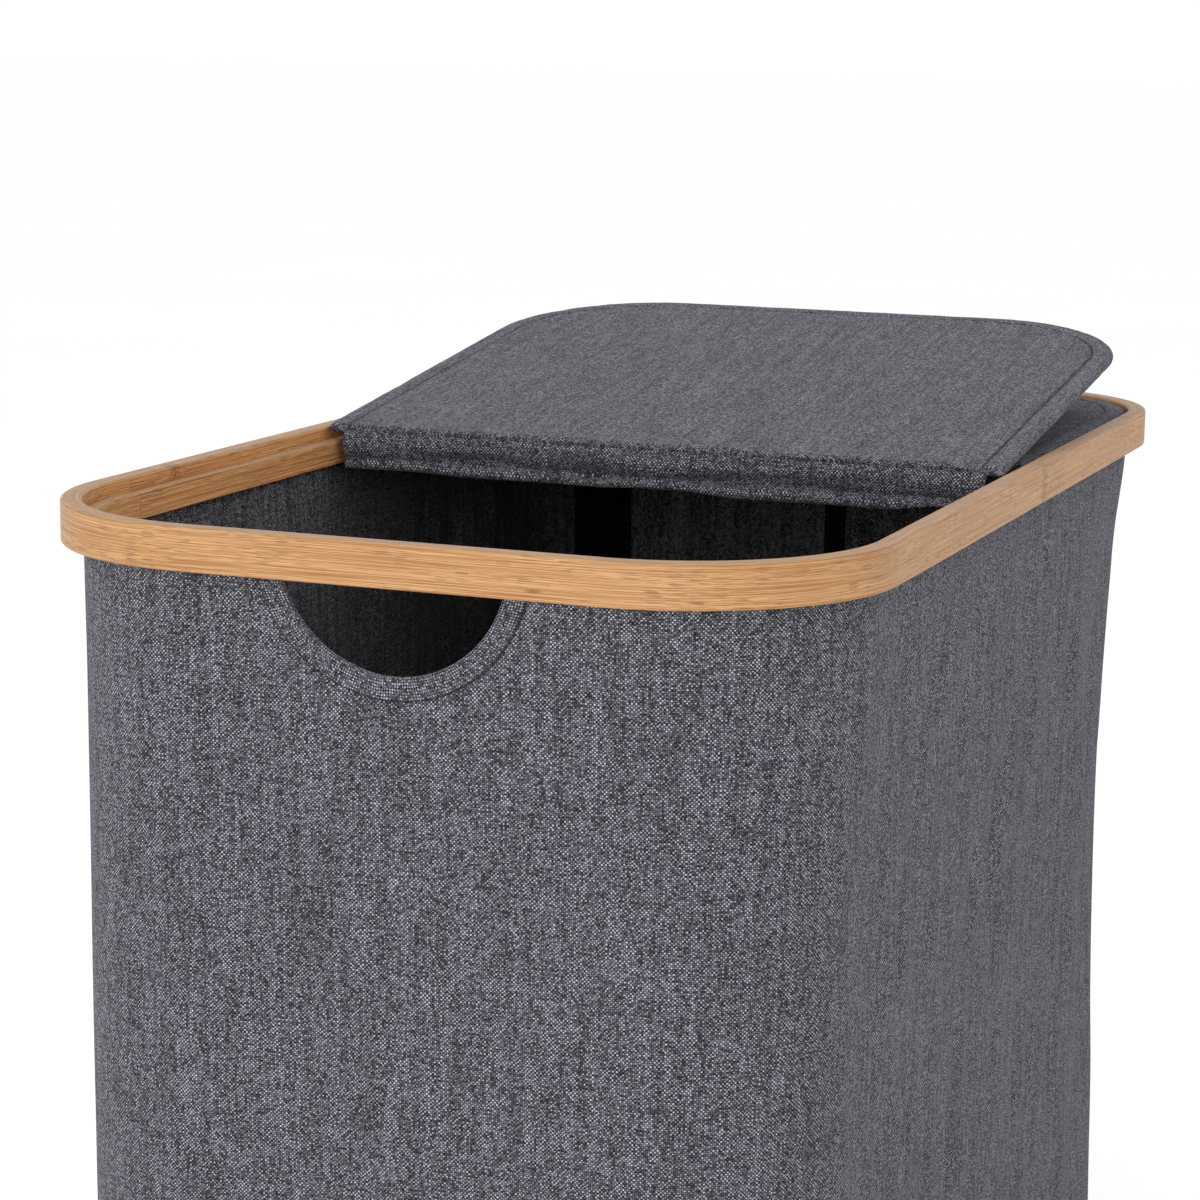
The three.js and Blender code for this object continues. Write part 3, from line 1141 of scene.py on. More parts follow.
    def columns(self) -> tuple[list[float], list[tuple[int, int]]]:
        """Space the mesh's columns.

        Returns:
            The columns' places, and for the front and each side of the rear seam the first and
            last column of the finer patch.
        """
        marks, half = self.plan.marks, self.patch
        seam = self.plan.seam_x
        left = seam + half
        right = half - seam
        front = self.front_mid
        fine, bend, wall = self.fine_step, self.bend_step, self.wall_step
        stops = [0.0, left, *marks[1:5], front - half, front + half, *marks[5:9]]
        stops += [marks[9] - right, marks[9]]
        steps = [fine, fine, bend, wall, bend, fine, fine, fine, bend, wall, bend, fine, fine]
        places: list[float] = []
        firsts: list[int] = []
        for start, end, step in zip(stops, stops[1:], steps):
            firsts.append(len(places))
            places += spaced(start, end, step)
        firsts.append(len(places))
        places.append(marks[9])
        patches = [(firsts[6], firsts[7]), (firsts[12], firsts[13]), (firsts[0], firsts[1])]
        return places, patches

    def wall(
        self,
        name: str,
        inset: float,
        thickness: float,
        bottom: float,
        material: Finish,
        detail: Callable[[Array, Array], Array] | None = None,
    ) -> Thing:
        """Loft one layer of the wall, with its two hand holes.

        Args:
            name: The piece's name.
            inset: Inward distance of its outer face from the bag's outer face.
            thickness: Of the cloth.
            bottom: Height of its lower edge.
            material: Its finish.
            detail: Extra inward relief of this layer.

        Returns:
            The wall, closed round and with its thickness.
        """
        places, patches = self.columns()
        s = np.array(places)
        split = self.hand_centre - self.patch_drop
        low = [bottom + x * MM for x in (0, 0.3, 0.9, 1.8, 3.0, 6.0)]
        lower = low + spaced(bottom + 14 * MM, split, 9.5 * MM)
        upper = [split, *spaced(split, self.hem_top, self.fine_step)[1:], self.hem_top]
        relief = detail or (lambda a, b: np.zeros(np.broadcast(a, b).shape))
        draft = MeshDraft()

        def lay(ways: Array, heights: Array) -> None:
            points = self.place(ways, heights, inset + relief(ways, heights))
            draft.grid(points, np.stack([ways, heights], -1))

        lay(*np.meshgrid(s, np.array([*lower, split])))
        plain = [(patches[2][1], patches[0][0]), (patches[0][1], patches[1][0])]
        for first, last in plain:
            lay(*np.meshgrid(s[first : last + 1], np.array(upper)))
        rear_right = s[patches[1][0] : patches[1][1] + 1] - self.plan.length
        rear = np.concatenate([rear_right, s[patches[2][0] + 1 : patches[2][1] + 1]])
        for run in (s[patches[0][0] : patches[0][1] + 1], rear):
            ways, heights = self.hole_rays(run, np.array(upper))
            lay(ways, heights)
        thing = draft.build(name, material, merge=2e-6, outward=False)
        self.face_out(thing)
        solid = thing.modifiers.new("cloth thickness", "SOLIDIFY")
        solid.thickness = thickness
        solid.offset = -1
        return thing

    def hole_rays(self, run: Array, heights: Array) -> tuple[Array, Array]:
        """Fan a patch of mesh out from a hand hole to the grid round it.

        Args:
            run: The patch's columns, left to right along the wall.
            heights: The patch's rows, from its lower edge to the hem.

        Returns:
            Way round and height of each point: rings by rays.
        """
        middle = (run[0] + run[-1]) / 2
        left = [(run[0], z) for z in heights[::-1]]
        base = [(x, heights[0]) for x in run[1:-1]]
        right = [(run[-1], z) for z in heights]
        border = np.array(left + base + right)
        dx, dz = border[:, 0] - middle, border[:, 1] - self.hand_centre
        reach = np.hypot(dx, dz)
        line = self.facing_width / MM
        rings = np.array([0.7, 1.6, 3.2, 5.4, 6.8, 7.4, 7.9, line, 8.9, 9.4, 10.0, 11.2, 13.4])
        rows = []
        for ring in self.hand_radius + rings * MM:
            x, z = middle + dx / reach * ring, self.hand_centre + dz / reach * ring
            drop = self.hand_centre - self.hem_top
            across = math.sqrt(ring**2 - drop**2)
            x[0], z[0] = middle - across, self.hem_top
            x[-1], z[-1] = middle + across, self.hem_top
            rows.append(np.stack([x, z], -1))
        rows.append((rows[-1] + border) / 2)
        rows.append(border)
        fan = np.array(rows)
        return fan[..., 0], fan[..., 1]

    def face_out(self, thing: Thing) -> None:
        """Turn every face of an open wall away from the bag's middle."""
        shape = bmesh.new()
        shape.from_mesh(thing.data)
        short, long = self.plan.straight
        wrong = []
        for face in shape.faces:
            c = face.calc_center_median()
            core = Vector((np.clip(c.x, -short, short), np.clip(c.y, -long, long), c.z))
            if face.normal.dot(c - core) < 0:
                wrong.append(face)
        bmesh.ops.reverse_faces(shape, faces=wrong)
        shape.to_mesh(thing.data)
        shape.free()

    def hand_arc(self, radius: float, top: float, steps: int = 64) -> tuple[Array, Array]:
        """Walk the arc of a hand hole.

        Args:
            radius: Of the arc.
            top: Height at which it ends on both sides.
            steps: How many steps it takes.

        Returns:
            Sideways distance from the middle, and height.
        """
        dip = math.asin((self.hand_centre - top) / radius)
        angle = np.linspace(math.pi + dip, 2 * math.pi - dip, steps + 1)
        return radius * np.cos(angle), self.hand_centre + radius * np.sin(angle)

    def facing(self, name: str, node: str, middle: float) -> Thing:
        """Sew the facing round a hand hole and turn it over the edge of both layers.

        Args:
            name: The piece's name.
            node: The CAD node that it stands for.
            middle: Way round to the hole's middle.

        Returns:
            The facing.
        """
        top = self.rim_bottom - 0.4 * MM
        inner = self.shell_thick + self.lining_gap + self.lining_thick + 0.3 * MM
        width = self.facing_width
        inside, wide = inner / MM, width / MM
        section = [
            (wide, inside),
            (wide, inside + 0.7),
            (wide - 0.5, inside + 0.8),
            (4.5, inside + 0.9),
            (1.2, inside + 0.8),
            (0.1, inside + 0.5),
            (-0.45, inside - 0.3),
            (-0.6, 1.4),
            (-0.5, 0.4),
            (-0.1, -0.25),
            (0.9, -0.48),
            (4.5, -0.55),
            (wide - 0.7, -0.5),
            (wide - 0.2, -0.3),
            (wide - 0.1, -0.05),
            (wide - 0.5, -0.02),
            (4.5, -0.04),
            (0.9, -0.05),
            (0.45, 0.1),
            (0.4, 1.2),
            (0.4, inside - 0.35),
            (0.7, inside - 0.02),
        ]
        rings = []
        for offset, depth in [*section, section[0]]:
            x, z = self.hand_arc(self.hand_radius + offset * MM, top)
            rings.append(self.place(middle + x, z, depth * MM))
        points = np.array(rings)
        sides = [math.dist(a, b) for a, b in zip(section, section[1:])]
        steps = np.array([0.0, *np.cumsum(sides)])
        arc = np.linspace(0, self.hand_radius * math.pi, points.shape[1])
        v = np.append(steps, steps[-1] + 0.7) * MM
        draft = MeshDraft()
        arc, v = np.broadcast_arrays(arc[None, :], v[:, None])
        bias = np.stack([arc + v, arc - v], -1) / math.sqrt(2)  # cut slantwise, so that it bends
        draft.grid(points, bias)
        width_count = points.shape[1]
        draft.cap([i * width_count for i in range(len(section))])
        draft.cap([i * width_count + width_count - 1 for i in range(len(section))][::-1])
        thing = draft.build(name, self.cloth)
        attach(thing, "hamper")
        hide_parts(node)
        return thing

    def floor_slab(
        self, name: str, node: str, material: Finish, edge: float, wave: float
    ) -> Thing:
        """Lay a rounded panel of the floor in the place of its CAD node."""
        low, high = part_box(node)
        radius = self.plan.radius - (self.plan.half_x - high.x)
        slab = Slab(high.x, low.y, high.y, low.z, high.z, radius, radius, edge, wave)
        thing = slab.build(name, material)
        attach(thing, "hamper")
        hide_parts(node)
        return thing

    def sleeve(self, corner: "Corner", clear: float) -> list[Array]:
        """Sew the black sleeve that holds a corner's support pole.

        Args:
            corner: Which corner.
            clear: Gap to the lining.

        Returns:
            The two lines that its edges are sewn along.
        """
        node = f"{corner.label}_pole_sleeve"
        low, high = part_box(node)
        pole_low, pole_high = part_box(f"{corner.label}_support_pole")
        short, long = self.plan.straight
        centre = np.array([corner.x * short, corner.y * long])
        pole = np.array([(pole_low.x + pole_high.x) / 2, (pole_low.y + pole_high.y) / 2])
        inset = self.shell_thick + self.lining_gap + self.lining_thick + clear
        wall = self.plan.radius - inset
        deep = 2 * (wall - float(np.hypot(*(pole - centre))))
        half, bulge_half = self.sleeve_half, deep * 0.95
        lift = np.linspace(low.z, high.z, 60)
        across = np.linspace(-half, half, 33)
        ripple = Jitter(30 + corner.number, 1.0, (8 * MM, 30 * MM), (60 * MM, 200 * MM))
        z, a = np.meshgrid(lift, across)
        near = np.clip(1 - np.abs(a) / bulge_half, 0, 1)
        bulge = deep * smooth_step(0, 0.8, near)
        bulge = bulge + ripple.at(a, z) * 0.18 * MM * smooth_step(half, half - 4 * MM, np.abs(a))
        middle = math.atan2(corner.y, corner.x)
        s = (self.plan.marks[corner.mark] + self.plan.marks[corner.mark + 1]) / 2 + a
        slump = self.slump(s, z)
        faces = []
        for inward in (self.sleeve_thick, 0.0):
            edge = smooth_step(half, half - 0.8 * MM, np.abs(a))
            radius = wall - slump - bulge - inward * (0.35 + 0.65 * edge)
            angle = middle + a / wall
            flat = np.stack([np.cos(angle), np.sin(angle)], -1) * radius[..., None]
            faces.append(np.concatenate([flat + centre, z[..., None]], -1))
        return self.sewn_strip(node.replace("pole_", ""), node, faces, np.stack([a, z], -1))

    def sewn_strip(
        self, name: str, node: str, faces: Sequence[Array], cloth: Array
    ) -> list[Array]:
        """Args:
            name: The piece's name.
            node: The CAD node that it stands for.
            faces: Its inner and outer face, each a grid of points.
            cloth: The grid's cloth coordinates.

        Returns:
            The two lines that its edges are sewn along.
        """
        draft = MeshDraft()
        for i, face in enumerate(faces):
            draft.grid(face, cloth, turn=i == 1)
        for edge in (0, -1):
            draft.grid(np.array([f[edge] for f in faces]), np.array([cloth[edge]] * 2))
            draft.grid(np.array([f[:, edge] for f in faces]), np.array([cloth[:, edge]] * 2))
        thing = draft.build(name, self.tape)
        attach(thing, "hamper")
        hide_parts(node)
        return [faces[0][i] for i in (2, -3)]

    def seam_tape(self) -> list[Array]:
        """Sew the tape over the closing seam inside the rear wall, and give its sewn lines."""
        low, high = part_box("rear_seam_tape")
        half = (high.x - low.x) / 2
        inset = self.shell_thick + self.lining_gap + self.lining_thick + 0.3 * MM
        z, a = np.meshgrid(np.linspace(low.z, high.z, 90), np.linspace(-half, half, 13))
        crown = self.tape_crown * np.sqrt(np.clip(1 - (np.abs(a) / half) ** 6, 0, 1)) + 0.05 * MM
        faces = [self.place(a, z, inset + crown), self.place(a, z, inset)]
        return self.sewn_strip("seam_tape", "rear_seam_tape", faces, np.stack([a, z], -1))

    def build(self) -> None:
        """Make the whole bag."""
        inner = self.shell_thick + self.lining_gap
        shell = self.wall("bag_outer", 0.0, self.shell_thick, 0.0, self.cloth, self.shell_detail)
        low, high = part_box("bag_lining")
        lining = self.wall(
            "bag_inner", inner, self.lining_thick, low.z, self.lining, self.sewn_relief
        )
        for thing, node, slot in (
            (shell, "bag_outer_shell", "cloth"), (lining, "bag_lining", "lining")
        ):
            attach(thing, "hamper")
            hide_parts(node)
        rear_mid = self.plan.seam_x
        self.facing("front_hand_facing", "front_handle_facing", self.front_mid)
        self.facing("rear_hand_facing", "rear_handle_facing", rear_mid)
        under = self.floor_slab(
            "outer_floor", "bag_bottom_panel", self.cloth, 0.6 * MM, 0.0
        )
        over = self.floor_slab("inner_floor", "lining_floor", self.lining, 0.3 * MM, 0.0)
        self.floor_slab("base_board", "base_insert", self.lining, 1.6 * MM, 0.3 * MM)
        rows: list[Array] = []
        for corner in Corner:
            rows += self.sleeve(corner, 0.3 * MM)
        rows += self.seam_tape()
        tape_thread = Thread(self.stitches, self.thread, 4.0 * MM, 3.1 * MM, 0.5 * MM, 0.06)
        black = tape_thread.sew("tape_stitches", rows)
        border: list[Array] = []
        for middle in (self.front_mid, rear_mid):
            line = self.hand_radius + self.facing_width + 0.25 * MM
            x, z = self.hand_arc(line, self.rim_bottom - 1 * MM, 90)
            way = middle + x
            sunk = self.shell_detail(way, z) - 0.15 * MM
            border.append(self.place(way, z, sunk))
        hand_thread = Thread(self.stitches, self.thread, 2.9 * MM, 2.7 * MM, 0.7 * MM, 0.05)
        hand = hand_thread.sew("hand_hole_stitches", border)
        for thing in (black, hand):
            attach(thing, "hamper")


class Corner(Enum):
    """The hamper's four corners, by side and end."""

    FRONT_LEFT = (0, "front_left", -1, -1, 3)
    FRONT_RIGHT = (1, "front_right", 1, -1, 5)
    REAR_LEFT = (2, "rear_left", -1, 1, 1)
    REAR_RIGHT = (3, "rear_right", 1, 1, 7)

    def __init__(self, number: int, label: str, x: int, y: int, mark: int) -> None:
        """Keep the corner's number, label, signs and the outline's mark where it starts."""
        self.number = number
        self.label = label
        self.x = x
        self.y = y
        self.mark = mark


@dataclass
class Slab:
    """A flat padded panel with two rounded ends, or one where the other is a folded edge."""

    half_x: float
    y_low: float
    y_high: float
    z_low: float
    z_high: float
    radius_low: float
    radius_high: float
    edge: float
    wave: float
    crown: Callable[[Array, Array], Array] | None = None

    def half_width(self, y: Array) -> Array:
        """Half the panel's width at each y."""
        width = np.full(np.shape(y), self.half_x)
        for radius, inward in (
            (self.radius_high, np.asarray(y) - (self.y_high - self.radius_high)),
            (self.radius_low, (self.y_low + self.radius_low) - np.asarray(y)),
        ):
            past = np.clip(inward, 0, radius)
            width = width - radius + np.sqrt(np.maximum(radius**2 - past**2, 0))
        return width

    def edge_distance(self, x: Array, y: Array) -> Array:
        """Distance inwards from the rounded edges, and without a folded edge."""
        middle = (self.y_low + self.y_high) / 2
        high = y >= middle
        radius = np.where(high, self.radius_high, self.radius_low)
        end = np.where(high, self.y_high - y, y - self.y_low)
        end = np.where(radius > 0, end, self.y_high)
        side = self.half_x - np.abs(x)
        inside = radius - np.hypot(np.maximum(radius - side, 0), np.maximum(radius - end, 0))
        return np.where((side < radius) & (end < radius), inside, np.minimum(side, end))

    def rows(self) -> Array:
        """Space the mesh's rows, closer at both ends."""
        ends = []
        for radius in (self.radius_low, self.radius_high):
            turns = np.sin(np.linspace(0, math.pi / 2, 17))
            near = np.array([0, 0.15, 0.4, 0.8, 1.3, 1.9, 2.5, 3.3, 4.5, 7, 11]) * MM
            ends.append(radius * (1 - turns[::-1]) if radius > 0 else near)
        low, high = self.y_low + ends[0], self.y_high - ends[1][::-1]
        between = spaced(low[-1], high[0], 5 * MM)[1:]
        return np.concatenate([low, between, high])

    def build(self, name: str, material: Finish) -> Thing:
        """Make the panel, closed all round."""
        rows = self.rows()
        near = np.array([0, 0.12, 0.35, 0.7, 1.1, 1.6, 2.3, 3.4, 5.5, 9]) * MM
        inner = spaced(-(self.half_x - near[-1]), self.half_x - near[-1], 5.5 * MM)
        share = np.concatenate(
            [-(self.half_x - near[:-1]), inner, (self.half_x - near)[::-1]]
        ) / self.half_x
        y = np.repeat(rows[:, None], len(share), 1)
        x = self.half_width(y) * share[None, :]
        thick = self.z_high - self.z_low
        distance = np.maximum(self.edge_distance(x, y), 0)
        fall = np.sqrt(np.clip(1 - (1 - np.minimum(distance / self.edge, 1)) ** 2, 0, 1))
        for radius, inward in (
            (self.radius_low, y - self.y_low), (self.radius_high, self.y_high - y)
        ):
            if radius <= 0:
                nose = np.minimum(inward / (thick / 2), 1)
                fall = fall * np.sqrt(np.clip(1 - (1 - nose) ** 2, 0, 1))
        jitter = Jitter(len(name), 1.0, (14 * MM, 60 * MM), (14 * MM, 60 * MM))
        calm = smooth_step(0, 8 * MM, distance)
        sheets = []
        for side in (1, -1):
            swell = jitter.at(x + side * 0.3, y) * self.wave * calm - self.wave * calm
            if self.crown:
                swell = swell + self.crown(x, y) * (1 if side > 0 else 0.6)
            z = (self.z_low + self.z_high) / 2 + side * (thick / 2 * fall + swell * fall)
            sheets.append(np.stack([x, y, z], -1))
        draft = MeshDraft()
        for i, sheet in enumerate(sheets):
            drop = np.abs(sheet[..., 2] - (self.z_low, self.z_high)[1 - i])
            draft.grid(sheet, np.stack([x, y - drop], -1), turn=i == 1)
        return draft.build(name, material, merge=4e-6)


@dataclass
class Rim:
    """The two bent hoops that hold the bag's hem between them."""

    half_x: float
    half_y: float
    radius: float
    strips: Tree
    edge: float = 1.2 * MM
    arc_step: float = 2.2 * MM
    joint_gap: float = 0.06 * MM

    def path(self, joint_y: float, z: float) -> Array:
        """Walk the rim's outside from a joint on the left side, by the front, back to it."""
        plan = Plan(self.half_x, self.half_y, self.radius)
        start = plan.marks[3] - (joint_y + plan.straight[1])
        stops = plan.marks[1:9]
        places: list[float] = []
        for a, b, bend in zip(stops, [*stops[1:], stops[0] + plan.length], [1, 0] * 4):
            places += spaced(a, b, self.arc_step if bend else 12 * MM)
        ways = np.mod(np.array(places) - start, plan.length)
        ways = np.sort(ways[(ways > 0.001) & (ways < plan.length - 0.001)])
        ways = np.concatenate([[0], ways, [plan.length - self.joint_gap]])
        point, _ = plan.at(ways + start)
        return np.column_stack([point, np.full(len(point), z)])

    def section(self, corners: Sequence[Pair], rounds: Sequence[float]) -> Array:
        """Round a section's corners.

        Args:
            corners: Depth from the rim's outside and height of each corner, in order.
            rounds: The rounding of each corner.

        Returns:
            The section's points.
        """
        points: list[Array] = []
        count = len(corners)
        for i, corner in enumerate(corners):
            here = np.array(corner)
            back = np.array(corners[i - 1]) - here
            ahead = np.array(corners[(i + 1) % count]) - here
            back, ahead = back / np.linalg.norm(back), ahead / np.linalg.norm(ahead)
            r = rounds[i]
            centre = here + (back + ahead) * r
            turns = np.linspace(0, math.pi / 2, 6)
            points.append(here + back * (r + 0.25 * MM))
            points += [centre - ahead * r * math.cos(t) - back * r * math.sin(t) for t in turns]
            points.append(here + ahead * (r + 0.25 * MM))
        return np.array(points)

    def hoop(self, name: str, node: str, path: Array, section: Array, material: Finish) -> Thing:
        """Bend a strip of a given section round the rim.

        Args:
            name: The piece's name.
            node: The CAD node that it stands for.
            path: The rim's outside at the strip's lower edge.
            section: Depth and height of the section's points.
            material: Its finish.

        Returns:
            The hoop.
        """
        ring = -np.column_stack([section, np.zeros(len(section))])
        helper = polyline_object("section", [np.vstack([ring, ring[:1]])])
        shape = bmesh.new()
        shape.from_mesh(helper.data)
        bmesh.ops.remove_doubles(shape, verts=shape.verts, dist=1e-7)
        shape.to_mesh(helper.data)
        shape.free()
        thing = run_tree(
            polyline_object("line", [path]),
            self.strips,
            {"Section": helper, "Material": material},
            name,
            [helper],
        )
        thing.data.set_sharp_from_angle(angle=math.radians(40))
        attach(thing, "hamper")
        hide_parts(node)
        return thing

    def build(self) -> None:
        """Make both hoops."""
        low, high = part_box("rim_outer_hoop")
        ledge_low, ledge_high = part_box("rim_ledge_hoop")
        tall = high.z - low.z
        thick = 8.5 * MM
        outer = BentBamboo(
            "bent_bamboo_outer_hoop",
            outer_nodes=(0.6804, 1.032, 1.411),
            inner_nodes=(1.6934, 1.262, 0.861),
            layer=thick * 0.43,
            top=tall,
            knot=(0.2957, 4.0 * MM),
        ).build()
        corners = [(0.0, 0.0), (thick, 0.0), (thick, tall), (0.0, tall)]
        self.hoop(
            "outer_hoop",
            "rim_outer_hoop",
            self.path(-0.197, low.z),
            self.section(corners, [self.edge] * 4),
            outer,
        )
        flange = self.half_x - ledge_high.x
        inner = 14.5 * MM
        wall = 11.4 * MM
        rise = ledge_high.z - ledge_low.z
        under = rise - 2.5 * MM
        ledge = BentBamboo(
            "bent_bamboo_ledge_hoop",
            outer_nodes=(),
            inner_nodes=(0.93, 1.30),
            layer=0.0,
            top=rise,
            inner_tint=(1.66, 1.52, 1.40),
        ).build()
        corners = [
            (wall, 0.0),
            (inner, 0.0),
            (inner, rise),
            (flange, rise),
            (flange, under),
            (wall, under),
        ]
        self.hoop(
            "ledge_hoop",
            "rim_ledge_hoop",
            self.path(-0.199, ledge_low.z),
            self.section(corners, [0.5 * MM, 0.5 * MM, 0.7 * MM, 0.15 * MM, 0.15 * MM, 0.3 * MM]),
            ledge,
        )


@dataclass
class Lid:
    """Two padded halves and the cloth that hinges them."""

    cloth: Finish
    thread: Finish
    stitches: Tree
    hinge: Vector
    fold_turn: float
    band: float = 10 * MM
    corner: float = 77 * MM
    groove: float = 0.12 * MM
    outer_round: float = 2.3 * MM
    inner_round: float = 1.3 * MM
    band_flats: Pair = (4.2 * MM, 6.4 * MM)
    stitch_drop: float = 0.75 * MM
    closed_fold: float = 13 * MM
    spine_thick: float = 1.0 * MM

    def band_mesh(
        self, name: str, half_x: float, fold: float, end: float, low: float, high: float
    ) -> tuple[Thing, list[Array]]:
        """Pipe the padded band round a half's two sides and rounded end.

        Args:
            name: The piece's name.
            half_x: Half the lid's width.
            fold: Y of the half's edge at the fold.
            end: Y of its rounded end.
            low: Height of its underside.
            high: Height of its top.

        Returns:
            The band, and the lines of its stitches on both faces.
        """
        r = self.corner
        turns = np.linspace(0, math.pi / 2, 28)[1:]
        near = [fold, fold + 0.4 * MM, fold + 1.2 * MM]
        straight = np.array([*near, *spaced(fold + 3 * MM, end - r, 6 * MM)])
        right = [(half_x, y, 1.0, 0.0) for y in straight] + [(half_x, end - r, 1.0, 0.0)]
        arc = [
            (half_x - r + r * math.cos(t), end - r + r * math.sin(t), math.cos(t), math.sin(t))
            for t in turns
        ]
        middle = [(x, end, 0.0, 1.0) for x in [*spaced(half_x - r, 0, 6 * MM)[1:], 0.0]]
        half = np.array(right + arc + middle)
        mirror = half[:-1][::-1] * [-1, 1, -1, 1]
        line = np.concatenate([half, mirror])
        steps = np.hypot(*np.diff(line[:, :2], axis=0).T)
        along = np.concatenate([[0], np.cumsum(steps)])
        thick, w = high - low, self.band - self.groove
        swing = np.linspace(-math.pi / 2, math.pi / 2, 13)
        turn = np.linspace(0, math.pi / 2, 6)
        nose, inner, mid = self.outer_round, self.inner_round, thick / 2
        flats = np.array(self.band_flats)
        depth = np.concatenate(
            [
                nose - nose * np.cos(swing),
                flats,
                w - inner + inner * np.sin(turn),
                w - inner + inner * np.cos(turn),
                flats[::-1],
            ]
        )
        lift = np.concatenate(
            [
                mid + mid * np.sin(swing),
                np.full(2, thick),
                thick - inner + inner * np.cos(turn),
                inner - inner * np.sin(turn),
                np.zeros(2),
            ]
        )
        jitter = Jitter(len(name) + 40, float(along[-1]), (12 * MM, 60 * MM), (30 * MM, 90 * MM))
        wave = jitter.at(along[:, None], lift[None, :] + depth[None, :]) * 0.12 * MM
        ease = 1 - 0.35 * np.exp(-((np.minimum(along, along[-1] - along) / (0.9 * MM)) ** 2))
        crown = 0.15 * MM * np.sin(np.clip(depth / w, 0, 1) * math.pi)
        z = thick / 2 + (lift[None, :] - thick / 2) * ease[:, None]
        z = z - np.sign(lift - thick / 2)[None, :] * (0.18 * MM - crown + np.abs(wave))
        inward = depth[None, :] + 0.1 * MM + wave * 0.6 * (depth < w / 2)
        x = line[:, 0][:, None] - line[:, 2][:, None] * inward
        y = line[:, 1][:, None] - line[:, 3][:, None] * inward
        points = np.stack([x, y, z + low], -1)
        perimeter = np.concatenate([[0], np.cumsum(np.hypot(np.diff(depth), np.diff(lift)))])
        cloth = np.stack(np.broadcast_arrays(perimeter[None, :], along[:, None]), -1)
        closed = np.concatenate([points, points[:, :1]], 1)
        seam = np.concatenate([cloth, cloth[:, -1:] + [0.002, 0]], 1)
        draft = MeshDraft()
        draft.grid(closed, seam)
        columns = closed.shape[1]
        draft.cap(list(range(columns - 1)))
        last = (len(line) - 1) * columns
        draft.cap([last + i for i in range(columns - 1)][::-1])
        thing = draft.build(name, self.cloth)
        flat = (line[:, :2] - line[:, 2:] * self.band)[2:-2]
        levels = (high - self.stitch_drop, low + self.stitch_drop)
        return thing, [np.column_stack([flat, np.full(len(flat), z)]) for z in levels]

    def half(self, half_name: str, fold: float) -> tuple[list[Thing], list[Array]]:
        """Make one half where the closed rear half would lie.

        Args:
            half_name: "lid_rear" or "lid_front".
            fold: Y of its edge at the fold.

        Returns:
            The half's band and panel, and its stitch lines.
        """
        low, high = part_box("lid_rear_edge_band")
        band, sewn = self.band_mesh(f"{half_name}_band", high.x, fold, high.y, low.z, high.z)
        inside = self.band + self.groove

        def pucker(x: Array, y: Array) -> Array:
            """Dents where the cloth is drawn over the fold edge."""
            run = y - fold
            drawn = Jitter(71, 1.0, (12 * MM, 60 * MM), (20 * MM, 50 * MM)).at(x, run)
            crease = -0.35 * MM * np.exp(-(((run - 17 * MM - drawn * MM) / (2.2 * MM)) ** 2))
            ripples = drawn * 0.28 * MM * np.exp(-((run / (16 * MM)) ** 2))
            return crease + ripples - 0.1 * MM

        slab = Slab(
            high.x - inside,
            fold,
            high.y - inside,
            low.z,
            high.z,
            0.0,
            self.corner - inside,
            1.5 * MM,
            0.16 * MM,
            pucker,
        )
        panel = slab.build(f"{half_name}_panel", self.cloth)
        return [band, panel], sewn

    def fold_back(self) -> Matrix:
        """Turn the closed rear place into the folded front half: mirrored, then swung back."""
        mirror = Matrix.Rotation(math.pi, 4, "Z")
        swing = Matrix.Rotation(-self.fold_turn, 4, "X")
        return Matrix.Translation(self.hinge) @ swing @ Matrix.Translation(-self.hinge) @ mirror

    def spine_line(self) -> Array:
        """Draw the hinge cloth's side view, from the folded half's edge to the rear half's.

        Returns:
            Y and Z of its middle layer.
        """
        low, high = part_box("lid_hinge_cloth")
        back = self.fold_back()
        nose = back @ Vector((0, self.closed_fold, self.top - 2.5 * MM))
        up = back.to_3x3() @ Vector((0, 0, -1))
        ahead = back.to_3x3() @ Vector((0, -1, 0))
        start = nose - ahead * 0.9 * MM - up * 0.7 * MM
        below = nose + ahead * 0.1 * MM - up * 1.9 * MM
        bottom = low.z + 0.7 * MM
        front, level = nose.y, nose.z
        knots = [
            (start.y, start.z),
            (below.y, below.z),
            (front - 0.7 * MM, level - 4.2 * MM),
            (front - 1.0 * MM, level - 7.0 * MM),
            (front + 0.2 * MM, level - 9.6 * MM),
            (front + 2.4 * MM, bottom + 5.6 * MM),
            (front + 2.6 * MM, bottom + 4.4 * MM),
            (front + 0.9 * MM, bottom + 3.4 * MM),
            (front, bottom + 2.2 * MM),
            (front + 0.1 * MM, bottom + 1.0 * MM),
            (front + 1.2 * MM, bottom + 0.1 * MM),
            (front + 3.4 * MM, bottom + 0.1 * MM),
            (front + 9 * MM, bottom + 2.6 * MM),
            (front + 19 * MM, bottom + 6.8 * MM),
            (high.y - 6 * MM, self.top - 8.4 * MM),
            (high.y - 1.8 * MM, self.top - 5.4 * MM),
            (high.y - 0.7 * MM, self.top - 2.4 * MM),
        ]
        return catmull(np.array(knots), 7)

    @property
    def top(self) -> float:
        """Height of the closed lid's top face."""
        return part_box("lid_rear_edge_band")[1].z

